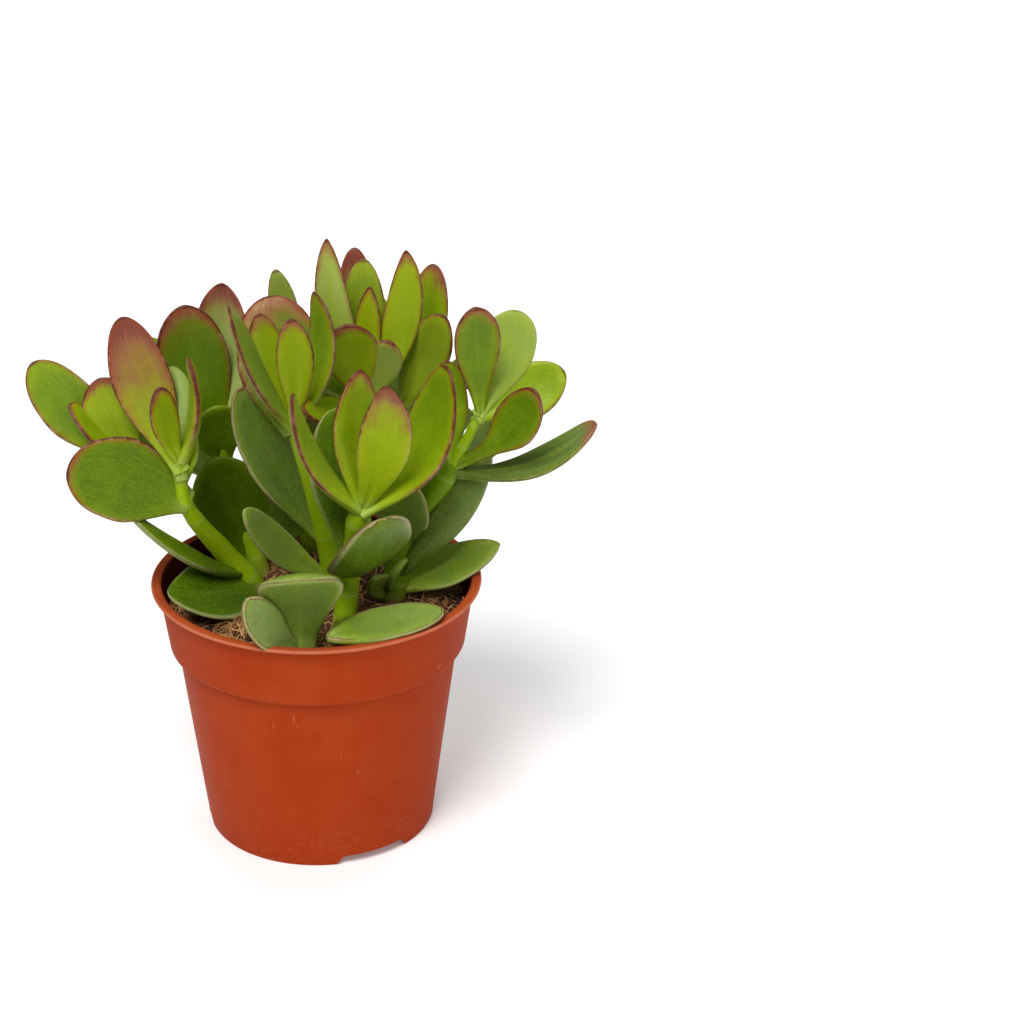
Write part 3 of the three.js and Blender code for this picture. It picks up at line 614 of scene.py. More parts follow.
leafyStems = {
    "left": [
        {
            "path": [(-23, 8, 77), (-23, 8, 88), (-33, 4, 105), (-46, -8, 131), (-47, -10, 149)],
            "radius": (5.2, 1.8),
            "tone": 0.1,
            "crown": 0,
            "leaves": [
                {"at": 0.78, "tip": (-86, -18, 147), "width": 30, "face": (0.1, -0.93, 0.35), "form": "round",
                 "sway": (0, 0, 2.5), "age": 0.7, "rim": 1, "blush": 0.06},
                {"at": 0.95, "tip": (-66, 6, 196), "width": 21, "face": (0.3, -0.9, 0.2), "sway": (-1.5, 0, 0),
                 "age": 0.12, "rim": 1, "blush": 0.7, "bloom": 0.25},
                {"at": 0.97, "tip": (-52, -24, 181), "width": 11, "face": (0.4, -0.9, 0.2), "sway": (-1, 0, 0),
                 "age": 0.2, "rim": 1, "blush": 0.1},
                {"at": 1, "tip": (-43, -8, 186), "width": 11, "face": (-1, -0.3, 0.1), "form": "lance",
                 "sway": (2.5, 0, 0), "age": 0.25, "rim": 1, "bloom": 0.2},
                {"at": 0.91, "tip": (-50, 12, 175), "width": 17, "face": (0.2, 0.9, 0.3), "age": 0.6,
                 "bloom": 0.5},
                {"at": 0.88, "tip": (-43, -4, 159), "width": 8, "face": (-0.6, -0.8, 0), "form": "lance",
                 "age": 0.35},
                {"at": 0.24, "tip": (-67, -12, 131), "width": 9.5, "face": (0.3, -0.2, 0.93), "form": "lance",
                 "bow": 0, "sway": (0, -9, -1), "age": 0.85, "rim": 0.2, "cork": 0.2},
                {"at": 0.19, "tip": (-53, -19, 102), "width": 27, "face": (0, -0.5, 0.87), "form": "round",
                 "bow": -2, "sway": (0, -7, -2.5), "age": 1, "rim": 0.1, "cork": 0.25, "bloom": 0},
                {"at": 0.82, "tip": (-70, 25, 160), "width": 18, "face": (0.4, -0.4, 0.8), "form": "spoon"},
                {"at": 0.72, "tip": (-66, 15, 142), "width": 15, "face": (0.2, -0.4, 0.9), "form": "spoon"},
            ],
        },
        {
            "path": [(-45, -7, 130), (-54, -4, 138), (-65, -2, 145)],
            "radius": (3, 2.2),
            "leaves": [
                {"at": 1, "tip": (-98, 8, 179), "width": 21, "face": (0, -0.8, 0.3), "sway": (-1.2, 0, -0.8),
                 "age": 0.46, "rim": 0.8, "bloom": 0.18},
                {"at": 0.95, "tip": (-85, -2, 167), "width": 12, "face": (0.9, -0.4, 0.3), "age": 0.2, "rim": 1},
                {"at": 0.95, "tip": (-75, 4, 174), "width": 21, "face": (0.1, -0.9, 0.35), "age": 0.05,
                 "rim": 0.9, "blush": 0.18, "bloom": 0.15},
            ],
        },
    ],
    "back_left": [
        {
            "path": [(-21, 22, 77), (-21, 22, 88), (-27, 25, 105), (-33, 28, 128), (-34, 30, 142)],
            "radius": (4.4, 2.6),
            "leaves": [
                {"at": 0.96, "tip": (-45, 26, 193), "width": 26.5, "face": (0.15, -0.95, 0.3),
                 "sway": (-1.8, 0, 0), "age": 0.6, "rim": 1.5, "blush": 0.28},
                {"at": 1, "tip": (-32, 38, 197), "width": 21.5, "face": (-0.2, -0.95, 0.1), "sway": (1, 0, 0),
                 "age": 0, "rim": 0.7, "blush": 0.38, "bloom": 1.2, "fold": 0.25},
                {"at": 0.83, "tip": (-36, 20, 156), "width": 21.5, "face": (0.2, -0.9, 0.3), "age": 0.65},
                {"at": 0.27, "tip": (-38, 16, 137), "width": 30, "face": (0.2, -0.9, 0.35), "form": "round",
                 "age": 0.72, "rim": 0.1, "bloom": 0},
                {"at": 0.97, "tip": (-60, 50, 172), "width": 19, "face": (0.5, -0.3, 0.7), "rim": 0.8},
                {"at": 0.72, "tip": (-58, 48, 136), "width": 19, "face": (0.2, -0.3, 0.9), "form": "spoon",
                 "age": 0.7},
                {"at": 0.36, "tip": (-46, 44, 112), "width": 18, "face": (0.3, -0.3, 0.9), "form": "spoon",
                 "age": 0.85, "cork": 0.3},
                {"at": 0.3, "tip": (-3, 20, 122), "width": 18, "face": (-0.2, -0.9, 0.4), "age": 0.9},
            ],
        },
    ],
    "middle": [
        {
            "path": [(7, 6, 77), (7, 6, 88), (4, 4, 108), (-2, 0, 137), (-7, -2, 158)],
            "radius": (4.8, 2.6),
            "tone": 0.35,
            "crown": 0.5,
            "leaves": [
                {"at": 0.97, "tip": (-28, -16, 207), "width": 17, "face": (0.85, -0.25, 0.4), "form": "lance",
                 "bow": 3, "age": 0.42, "rim": 1, "bloom": 0.35},
                {"at": 1, "tip": (-18, -4, 200), "width": 13, "face": (0.3, -0.9, 0.1), "sway": (-1, 0, 0),
                 "age": -0.02, "rim": 0.7, "blush": 0.08},
                {"at": 1, "tip": (-7, -16, 202), "width": 13.2, "face": (0, -0.95, 0.1), "sway": (1, 0, 0),
                 "age": -0.03, "rim": 0.7, "blush": 0.1},
                {"at": 1, "tip": (1, 4, 205), "width": 13, "face": (-0.7, -0.7, 0), "form": "lance", "bow": 5,
                 "sway": (3.5, 0, 0), "age": 0.4, "rim": 0.8, "cork": 0.1},
                {"at": 0.96, "tip": (-15, 26, 196), "width": 31.5, "face": (0, -0.9, 0.4), "form": "round",
                 "cup": 0.02, "age": 0.9, "rim": 1.2, "blush": 0.3},
                {"at": 0.39, "tip": (-26, 8, 168), "width": 19, "face": (0.3, -0.9, 0.3), "sway": (-3, 0, 0),
                 "age": 0.82, "rim": 0.5, "cork": 0.55, "bloom": 0.3},
                {"at": 0.18, "tip": (-25, -20, 133), "width": 13.5, "face": (0.4, -0.75, 0.5),
                 "sway": (-2, 0, -1.5), "age": 0.42, "rim": 0.15, "cork": 0.35, "bloom": 0.4},
                {"at": 0.95, "tip": (-23, 24, 162), "width": 12, "face": (0.2, -0.95, 0.1), "age": 0.85},
            ],
        },
    ],
    "front": [
        {
            "path": [(9, -25, 77), (9, -25, 88), (11, -21, 103), (13, -20, 116), (16, -26, 136)],
            "radius": (4.6, 2.8),
            "tone": 0.4,
            "crown": 2.3,
            "leaves": [
                {"at": 0.98, "tip": (-7, -42, 185), "width": 17, "face": (0.95, -0.2, 0.3), "form": "lance",
                 "bow": 7, "age": 0.25, "rim": 1, "bloom": 0.2},
                {"at": 1, "tip": (16, -26, 187), "width": 18, "face": (0.4, -0.9, 0), "form": "pointed",
                 "sway": (-1.5, 0, 0), "age": 0.2, "rim": 0.9, "blush": 0.16},
                {"at": 1, "tip": (24, -44, 188), "width": 18.5, "face": (0, -0.95, 0.2), "form": "acute",
                 "sway": (4, 0, 0), "age": 0, "rim": 0.6, "blush": 0.32},
                {"at": 0.98, "tip": (46, -24, 187), "width": 27, "face": (-0.7, -0.5, 0.4), "bow": 6,
                 "sway": (3, 0, -3), "age": 0.25, "rim": 1},
                {"at": 0.55, "tip": (23, -52, 143), "width": 31, "face": (-0.3, 0.5, 0.85), "form": "broad",
                 "bow": 5, "age": 1, "rim": 0.25, "cork": 0.8, "bloom": 0.05, "thick": 5},
                {"at": 0.59, "tip": (8, -8, 166), "width": 24, "face": (0, -0.95, 0.2), "age": 0.9, "rim": 0,
                 "cork": 0.3},
                {"at": 0.9, "tip": (26, -6, 172), "width": 16, "face": (-0.3, -0.8, 0.4), "age": 0.75},
            ],
        },
        {
            "path": [(10, -25, 92.5), (7, -38, 96.5), (4.5, -53, 98.8)],
            "radius": (2, 0.7),
            "leaves": [
                {"at": 1, "tip": (44, -37, 100), "width": 15.5, "face": (0, -0.4, 0.9), "form": "pebble",
                 "bow": 0.5, "age": 0.6, "rim": 0.1, "cork": 0.8, "bloom": 0.4, "thick": 5},
            ],
        },
    ],
    "low": [
        {
            "path": [(-6, -46, 77), (-6, -46, 88), (-6, -46, 91), (-6, -46.5, 94)],
            "radius": (3, 2.8),
            "leaves": [
                {"at": 0.89, "tip": (-6, -65.5, 127), "width": 30, "face": (0, 0.7, 0.7), "form": "fan",
                 "bow": -9.5, "cup": -0.04, "age": 0.65, "rim": 0.1, "cork": 0.4, "bloom": 0.35, "thick": 6},
                {"at": 0.78, "tip": (-24, -56, 116), "width": 15, "face": (0.35, -0.75, 0.55),
                 "sway": (-1, -3, 0), "age": 0.75, "rim": 0.2, "cork": 1, "bloom": 0.6, "thick": 4.4},
            ],
        },
    ],
    "right": [
        {
            "path": [(27, -3, 77), (27, -3, 88), (33.5, 2, 111), (50, 2, 141)],
            "radius": (5.2, 4),
            "tone": 1,
            "crown": 0.6,
            "leaves": [
                {"at": 0.97, "tip": (77, -14, 174), "width": 17.5, "face": (-0.2, -0.9, 0.4), "form": "ladle",
                 "sway": (4.5, 0, -3), "age": 0.62, "rim": 1, "blush": 0.04},
                {"at": 0.94, "tip": (100, -8, 158), "width": 19, "face": (-0.2, -0.2, 0.96), "form": "spoon",
                 "bow": 9.5, "age": 0.85, "rim": 0.3, "blush": 0.08, "bloom": 0.3, "rib": 0.8},
                {"at": 0.98, "tip": (48, 10, 176), "width": 15, "face": (0.3, -0.9, 0.2), "age": 0.45,
                 "rim": 0.7},
                {"at": 0.29, "tip": (64, 14, 139), "width": 14, "face": (-0.25, 0.95, -0.3), "bow": 9,
                 "age": 0.95, "rim": 0.1, "bloom": 0.3},
                {"at": 0.38, "tip": (31, -4, 137.5), "width": 20, "face": (-0.3, -0.9, 0.2), "age": 0.75,
                 "rim": 0.1, "cork": 0.4, "bloom": 0.35},
                {"at": 0.22, "tip": (67, 3, 107), "width": 17, "face": (-0.2, -0.5, 0.8), "form": "lance",
                 "age": 0.45, "rim": 0.2, "cork": 0.5, "bloom": 0.3},
                {"at": 0.19, "tip": (32, -9, 107), "width": 12, "face": (0.8, -0.5, 0.2), "form": "lance",
                 "age": 0.55, "bloom": 0.3},
                {"at": 0.17, "tip": (20, -14, 102), "width": 11, "face": (0, -0.9, 0.3), "form": "lance",
                 "age": 0.5, "bloom": 0.3},
                {"at": 0.86, "tip": (72, 27, 147), "width": 17, "face": (-0.2, -0.4, 0.9), "form": "spoon",
                 "age": 0.7},
            ],
        },
        {
            "path": [(48.5, 2, 138), (54.5, 3, 148), (59.5, 4, 158)],
            "radius": (2.4, 1.5),
            "leaves": [
                {"at": 1, "tip": (57, -4, 201), "width": 17, "face": (0.1, -0.97, 0.2), "form": "spoon",
                 "age": 0.56, "rim": 1, "blush": 0.1},
                {"at": 1, "tip": (73, 18, 192), "width": 20, "face": (-0.1, -0.9, 0.3), "form": "spoon",
                 "sway": (2, 0, 0), "age": 0.2, "rim": 0.35, "bloom": 0.5},
                {"at": 0.95, "tip": (90, 8, 172), "width": 20, "face": (-0.3, -0.85, 0.4), "form": "oval",
                 "age": 0.3, "rim": 0.5},
                {"at": 0.9, "tip": (76, 32, 168), "width": 17, "face": (-0.4, -0.4, 0.8), "form": "spoon"},
            ],
        },
    ],
    "top": [
        {
            "path": [(10, 20, 77), (10, 20, 88), (15, 22, 117), (18, 22, 157)],
            "radius": (4.6, 2.8),
            "leaves": [
                {"at": 1, "tip": (6, 20, 219), "width": 12.5, "face": (0.1, 1, 0), "form": "lance",
                 "sway": (-3, 0, 0), "age": 0.02, "rim": 0.7, "blush": 0.12, "bloom": 0.65, "rib": 1},
                {"at": 1, "tip": (16, 40, 209), "width": 15, "face": (0, -1, 0), "age": 0.3, "rim": 0.9,
                 "blush": 0.6},
                {"at": 0.98, "tip": (19, 30, 208), "width": 16, "face": (0, -1, 0), "age": 0.25, "rim": 0.5,
                 "blush": 0.04, "bloom": 0.2},
                {"at": 1, "tip": (21, 20, 201), "width": 10.5, "face": (0, -1, 0), "form": "lance", "age": -0.1,
                 "rim": 0.8, "blush": 0.06},
                {"at": 0.97, "tip": (12, 5, 192), "width": 20, "face": (0, -0.95, 0.3), "form": "spoon",
                 "age": 0.05, "rim": 1, "blush": 0.12},
                {"at": 0.96, "tip": (27, 10, 184), "width": 14.5, "face": (0, -0.95, 0.3), "form": "spoon",
                 "sway": (1, 0, 0), "age": 0, "rim": 0.5, "blush": 0.08, "bloom": 0.7},
                {"at": 0.98, "tip": (34, 24, 213), "width": 14, "face": (0.1, -0.95, 0.1), "form": "lance",
                 "sway": (5.6, 0, 0), "age": -0.02, "rim": 0.7, "blush": 0.1},
                {"at": 0.6, "tip": (1, 11, 165), "width": 19, "face": (0.1, -0.9, 0.4), "age": 0.8},
                {"at": 0.5, "tip": (38, 14, 152), "width": 20, "face": (-0.2, -0.9, 0.4), "age": 0.85},
                {"at": 0.97, "tip": (9, 50, 194), "width": 16, "face": (0.1, -0.8, 0.5), "age": 0.35,
                 "rim": 0.8, "blush": 0.2},
                {"at": 0.94, "tip": (25, 42, 190), "width": 14, "face": (-0.2, -0.8, 0.4), "age": 0.4},
                {"at": 0.7, "tip": (3, 44, 161), "width": 18, "face": (0.1, -0.5, 0.8), "age": 0.6},
                {"at": 0.97, "tip": (-3, -10, 165), "width": 14, "face": (-0.3, -0.85, 0.45), "age": 0.3,
                 "rim": 1},
            ],
        },
    ],
    "back_right": [
        {
            "path": [(24, 27, 77), (24, 27, 88), (31, 33, 121), (33, 31, 152)],
            "radius": (4.4, 2.6),
            "leaves": [
                {"at": 1, "tip": (45, 44, 201), "width": 16, "face": (-0.2, -0.9, 0.1), "form": "round",
                 "sway": (1.5, 0, 0), "age": 0.25, "rim": 0.6, "blush": 0.2},
                {"at": 0.98, "tip": (47, 20, 190), "width": 17, "face": (-0.3, -0.9, 0.2), "age": 0.05,
                 "rim": 0.7, "blush": 0.05, "bloom": 0.2},
                {"at": 0.92, "tip": (70, 52, 166), "width": 18, "face": (-0.4, -0.3, 0.8), "form": "spoon",
                 "rim": 0.8},
                {"at": 0.97, "tip": (28, 65, 178), "width": 18, "face": (0, -0.7, 0.7), "age": 0.35, "rim": 0.9,
                 "blush": 0.12},
                {"at": 0.7, "tip": (58, 60, 138), "width": 19, "face": (-0.3, -0.3, 0.9), "form": "spoon",
                 "age": 0.7},
                {"at": 0.46, "tip": (52, 46, 112), "width": 18, "face": (-0.3, -0.3, 0.9), "form": "spoon",
                 "age": 0.85, "cork": 0.3},
                {"at": 0.52, "tip": (26, 65, 124), "width": 18, "face": (0, -0.5, 0.9), "form": "spoon",
                 "age": 0.8},
                {"at": 0.6, "tip": (51, 19, 143), "width": 18, "face": (-0.3, -0.8, 0.5), "age": 0.85},
            ],
        },
    ],
    "rear": [
        {
            "path": [(-2, 40, 77), (-2, 40, 88), (-6, 45, 118), (-10, 46, 146)],
            "radius": (4.4, 2.6),
            "leaves": [
                {"at": 1, "tip": (-13, 52, 197), "width": 12, "face": (0.2, -0.9, 0.1), "sway": (2.5, 0, 0),
                 "age": 0.2, "rim": 0.5, "blush": 0, "bloom": 0.5},
                {"at": 1, "tip": (-34, 56, 180), "width": 17, "face": (0.5, -0.4, 0.6), "age": 0.3, "rim": 0.9},
                {"at": 1, "tip": (6, 60, 180), "width": 17, "face": (-0.5, -0.4, 0.6), "age": 0.3, "rim": 0.9},
                {"at": 0.97, "tip": (-12, 65, 184), "width": 16, "face": (0, -0.9, 0.3), "age": 0.2, "rim": 0.8,
                 "blush": 0.25},
                {"at": 0.86, "tip": (-46, 58, 150), "width": 20, "face": (0.2, -0.3, 0.9), "form": "spoon"},
                {"at": 0.84, "tip": (18, 62, 150), "width": 20, "face": (-0.2, -0.3, 0.9), "form": "spoon"},
                {"at": 0.64, "tip": (-20, 65, 126), "width": 20, "face": (0, -0.5, 0.9), "form": "spoon",
                 "age": 0.75},
                {"at": 0.6, "tip": (-24, 44, 168), "width": 16, "face": (0.3, -0.8, 0.5), "age": 0.85},
                {"at": 0.46, "tip": (-34, 58, 106), "width": 17, "face": (0.2, -0.4, 0.9), "form": "spoon",
                 "age": 0.85, "cork": 0.4},
                {"at": 0.5, "tip": (8, 64, 108), "width": 16, "face": (-0.2, -0.4, 0.9), "form": "spoon",
                 "age": 0.85},
            ],
        },
    ],
}


def unit(vector):
    return vector / np.linalg.norm(vector, axis=-1, keepdims=True)


def shootLine(path):  # a smooth line through the points of the path, and each point's share of its length
    points = [np.array(point, float) for point in path]
    points = [2 * points[0] - points[1], *points, 2 * points[-1] - points[-2]]
    u = np.linspace(0, 1, 40, endpoint=False)[:, None]
    line = []
    for before, start, end, after in zip(points, points[1:], points[2:], points[3:]):
        first, middle, last = [math.sqrt(np.linalg.norm(b - a))
                               for a, b in ((before, start), (start, end), (end, after))]
        leaving = middle * ((start - before) / first - (end - before) / (first + middle) + (end - start) / middle)
        arriving = middle * ((end - start) / middle - (after - start) / (middle + last) + (after - end) / last)
        line.append(start + leaving * u + (3 * (end - start) - 2 * leaving - arriving) * u ** 2
                    + (2 * (start - end) + leaving + arriving) * u ** 3)
    line = np.vstack([*line, points[-2][None]])
    lengths = np.concatenate([[0], np.cumsum(np.linalg.norm(np.diff(line, axis=0), axis=1))])
    return line, lengths / lengths[-1], lengths[-1]


def alongLine(line, share, where):
    return np.stack([np.interp(where, share, line[:, i]) for i in range(3)], axis=-1)


def outlineAt(form, t):
    ramp = (1 - np.cos(np.pi * np.clip(t / form["widest"], 0, 1))) / 2
    rising = form["root"] + (1 - form["root"]) * ramp ** form["fill"]
    past = (t - form["widest"]) / (1 - form["widest"])
    falling = np.maximum(1 - past ** 2, 0) ** form["point"]
    return np.where(t < form["widest"], rising, falling)


def leafModel():
    clearSelection()
    bpy.ops.mesh.primitive_uv_sphere_add(segments=plant["leafSegments"], ring_count=plant["leafRings"], radius=1)
    model = bpy.context.object
    bpy.ops.object.mode_set(mode="EDIT")
    bpy.ops.mesh.select_all(action="SELECT")
    bpy.ops.transform.translate(value=(0, 0, 1))
    bpy.ops.transform.resize(value=(1, 1, 0.5), center_override=(0, 0, 0))
    bpy.ops.object.mode_set(mode="OBJECT")
    bpy.ops.object.transform_apply(location=True, rotation=True, scale=True)
    return model


leafPattern = leafModel()
leafShape = readPoints(leafPattern.data)
stemPattern = tubeModel(plant["stemSides"], plant["stemRows"])
stemShape = readPoints(stemPattern.data)


def makeLeaf(root, given, dice):
    leaf = {**leafUsual, **given}
    form = leafForms[leaf["form"]]
    tip = np.array(leaf["tip"], float)
    base = root + unit(root - tip) * plant["leafSink"]
    chord = tip - base
    long = np.linalg.norm(chord)
    face = np.array(leaf["face"], float)
    rise = unit(face - chord * face.dot(chord) / long ** 2)
    t = leafShape[:, 2]
    ring = np.hypot(leafShape[:, 0], leafShape[:, 1])
    round = np.where(ring > 1e-6, ring, 1)
    x, y = leafShape[:, 0] / round * (ring > 1e-6), leafShape[:, 1] / round * (ring > 1e-6)
    lean = dice.uniform(-0.05, 0.05)
    wave = dice.uniform(0, 6.28)
    outline = outlineAt(form, t)
    width = leaf["width"] * outline * (1 + lean * x * np.sin(np.pi * t))
    width *= 1 + 0.012 * np.sin(9 * t + wave) + 0.008 * np.sin(17 * t * np.sign(x) + wave)
    ends = (t > 0.5) | (leaf["form"] == "pebble")
    rounding = np.clip(outline / 0.55, 0, 1) ** 0.7 * ends + ~ends
    halfThick = leaf["thick"] / 2 * (plant["rootShare"] + (plant["tipShare"] - plant["rootShare"]) * t) * rounding
    sharp = np.sign(y) * np.abs(y) ** (1.1 - 0.45 * leaf["blunt"])
    groove = np.where(y > 0, -0.35 * np.exp(-(x / 0.22) ** 2) * (1 - t) ** 1.5, 0)
    keel = np.where(y < 0, -0.25 * np.exp(-(x / 0.3) ** 2) * (1 - t), 0)
    bow = leaf["bow"]
    hang = np.array(leaf["sway"]) - rise * bow
    along = unit(chord + hang * (4 * (1 - 2 * t))[:, None])
    side = unit(np.cross(rise, along))
    up = np.cross(along, side)
    angle = math.radians(leaf["twist"] + dice.uniform(-5, 5)) * np.clip((t - 0.2) / 0.8, 0, 1)
    turnedSide = side * np.cos(angle)[:, None] + up * np.sin(angle)[:, None]
    turnedUp = up * np.cos(angle)[:, None] - side * np.sin(angle)[:, None]
    lift = (sharp + groove + keel) * halfThick + leaf["cup"] * width * x ** 2
    lift += leaf["fold"] * width * (np.abs(x) - 0.2)
    lift += 0.25 * np.sin(5 * t + wave) * np.abs(x) * x * t
    points = (base + chord * t[:, None] + hang * (4 * t * (1 - t))[:, None]
              + turnedSide * (x * width / 2)[:, None] + turnedUp * lift[:, None])
    # How far each point is from the leaf's edge, in millimetres, for the red or corky margin
    edgeT = np.linspace(0.0, 1.0, 80)
    edge = np.stack([edgeT * long, leaf["width"] / 2 * outlineAt(form, edgeT)], axis=1)
    flat = np.stack([t * long, np.abs(x) * width / 2], axis=1)
    distance = np.linalg.norm(flat[:, None, :] - edge[None, :, :], axis=2).min(axis=1)
    made = copyOf(leafPattern, "leaf")
    writePoints(made.data, points * mm)
    count = len(points)
    writeAttribute(made.data, "leafPlace", np.stack([x, np.sign(y) * np.abs(y), t], axis=1))
    writeAttribute(made.data, "leafEdge", distance)
    writeAttribute(made.data, "leafTone", np.tile([leaf["age"], leaf["blush"], leaf["bloom"]], (count, 1)))
    writeAttribute(made.data, "leafRim", np.tile([leaf["rim"], leaf["cork"], leaf["rib"]], (count, 1)))
    writeAttribute(made.data, "leafSeed", np.full(count, dice.random()))
    return made


def makeStem(line, share, long, shoot):
    nodes = sorted({round(leaf["at"] * long / 9) * 9 / long for leaf in shoot["leaves"]})
    start = 12 / long if shoot["path"][0][2] < 80 else 0.0
    bare = [start + (nodes[0] - start) * 0.5] if nodes[0] - start > 0.25 else []
    h = stemShape[:, 2]
    footRadius, tipRadius = shoot["radius"]
    radius = footRadius + (tipRadius - footRadius) * h
    ringMark = np.zeros(len(h))
    for node in [*nodes, *bare]:
        near = np.exp(-((h - node) * long / plant["knuckleLength"]) ** 2)
        ringMark = np.maximum(ringMark, near)
    radius = radius + plant["knuckle"] * ringMark
    radius = radius + shoot.get("crown", 0) * np.exp(-((1 - h) * long / plant["crownLength"]) ** 2)
    dome = np.clip((1 - h) * long / (2.6 * radius), 0.0, 1)
    radius *= np.sqrt(dome * (2 - dome) + 0.02)
    centre = alongLine(line, share, h)
    rows = np.unique(h.round(6))
    middle = alongLine(line, share, rows)
    way = unit(np.gradient(middle, axis=0))
    normal = unit(np.cross(way[0], [0.3, 1, 0.1]))
    normals = []
    for direction in way:
        normal = unit(normal - direction * normal.dot(direction))
        normals.append(normal)
    row = np.searchsorted(rows, h.round(6))
    n, d = np.array(normals)[row], way[row]
    b = np.cross(d, n)
    swell = np.array([noise.noise(Vector((*(p * 0.11),))) for p in centre + n * stemShape[:, :1] * 4])
    radius = radius * (1 + 0.05 * swell)
    points = centre + n * (stemShape[:, 0] * radius)[:, None] + b * (stemShape[:, 1] * radius)[:, None]
    made = copyOf(stemPattern, "stem")
    writePoints(made.data, points * mm)
    writeAttribute(made.data, "stemPlace", np.stack([stemShape[:, 0], stemShape[:, 1], h * long / 10], axis=1))
    writeAttribute(made.data, "stemRing", ringMark)
    writeAttribute(made.data, "stemTone", np.full(len(points), shoot.get("tone", 0.2)))
    return made


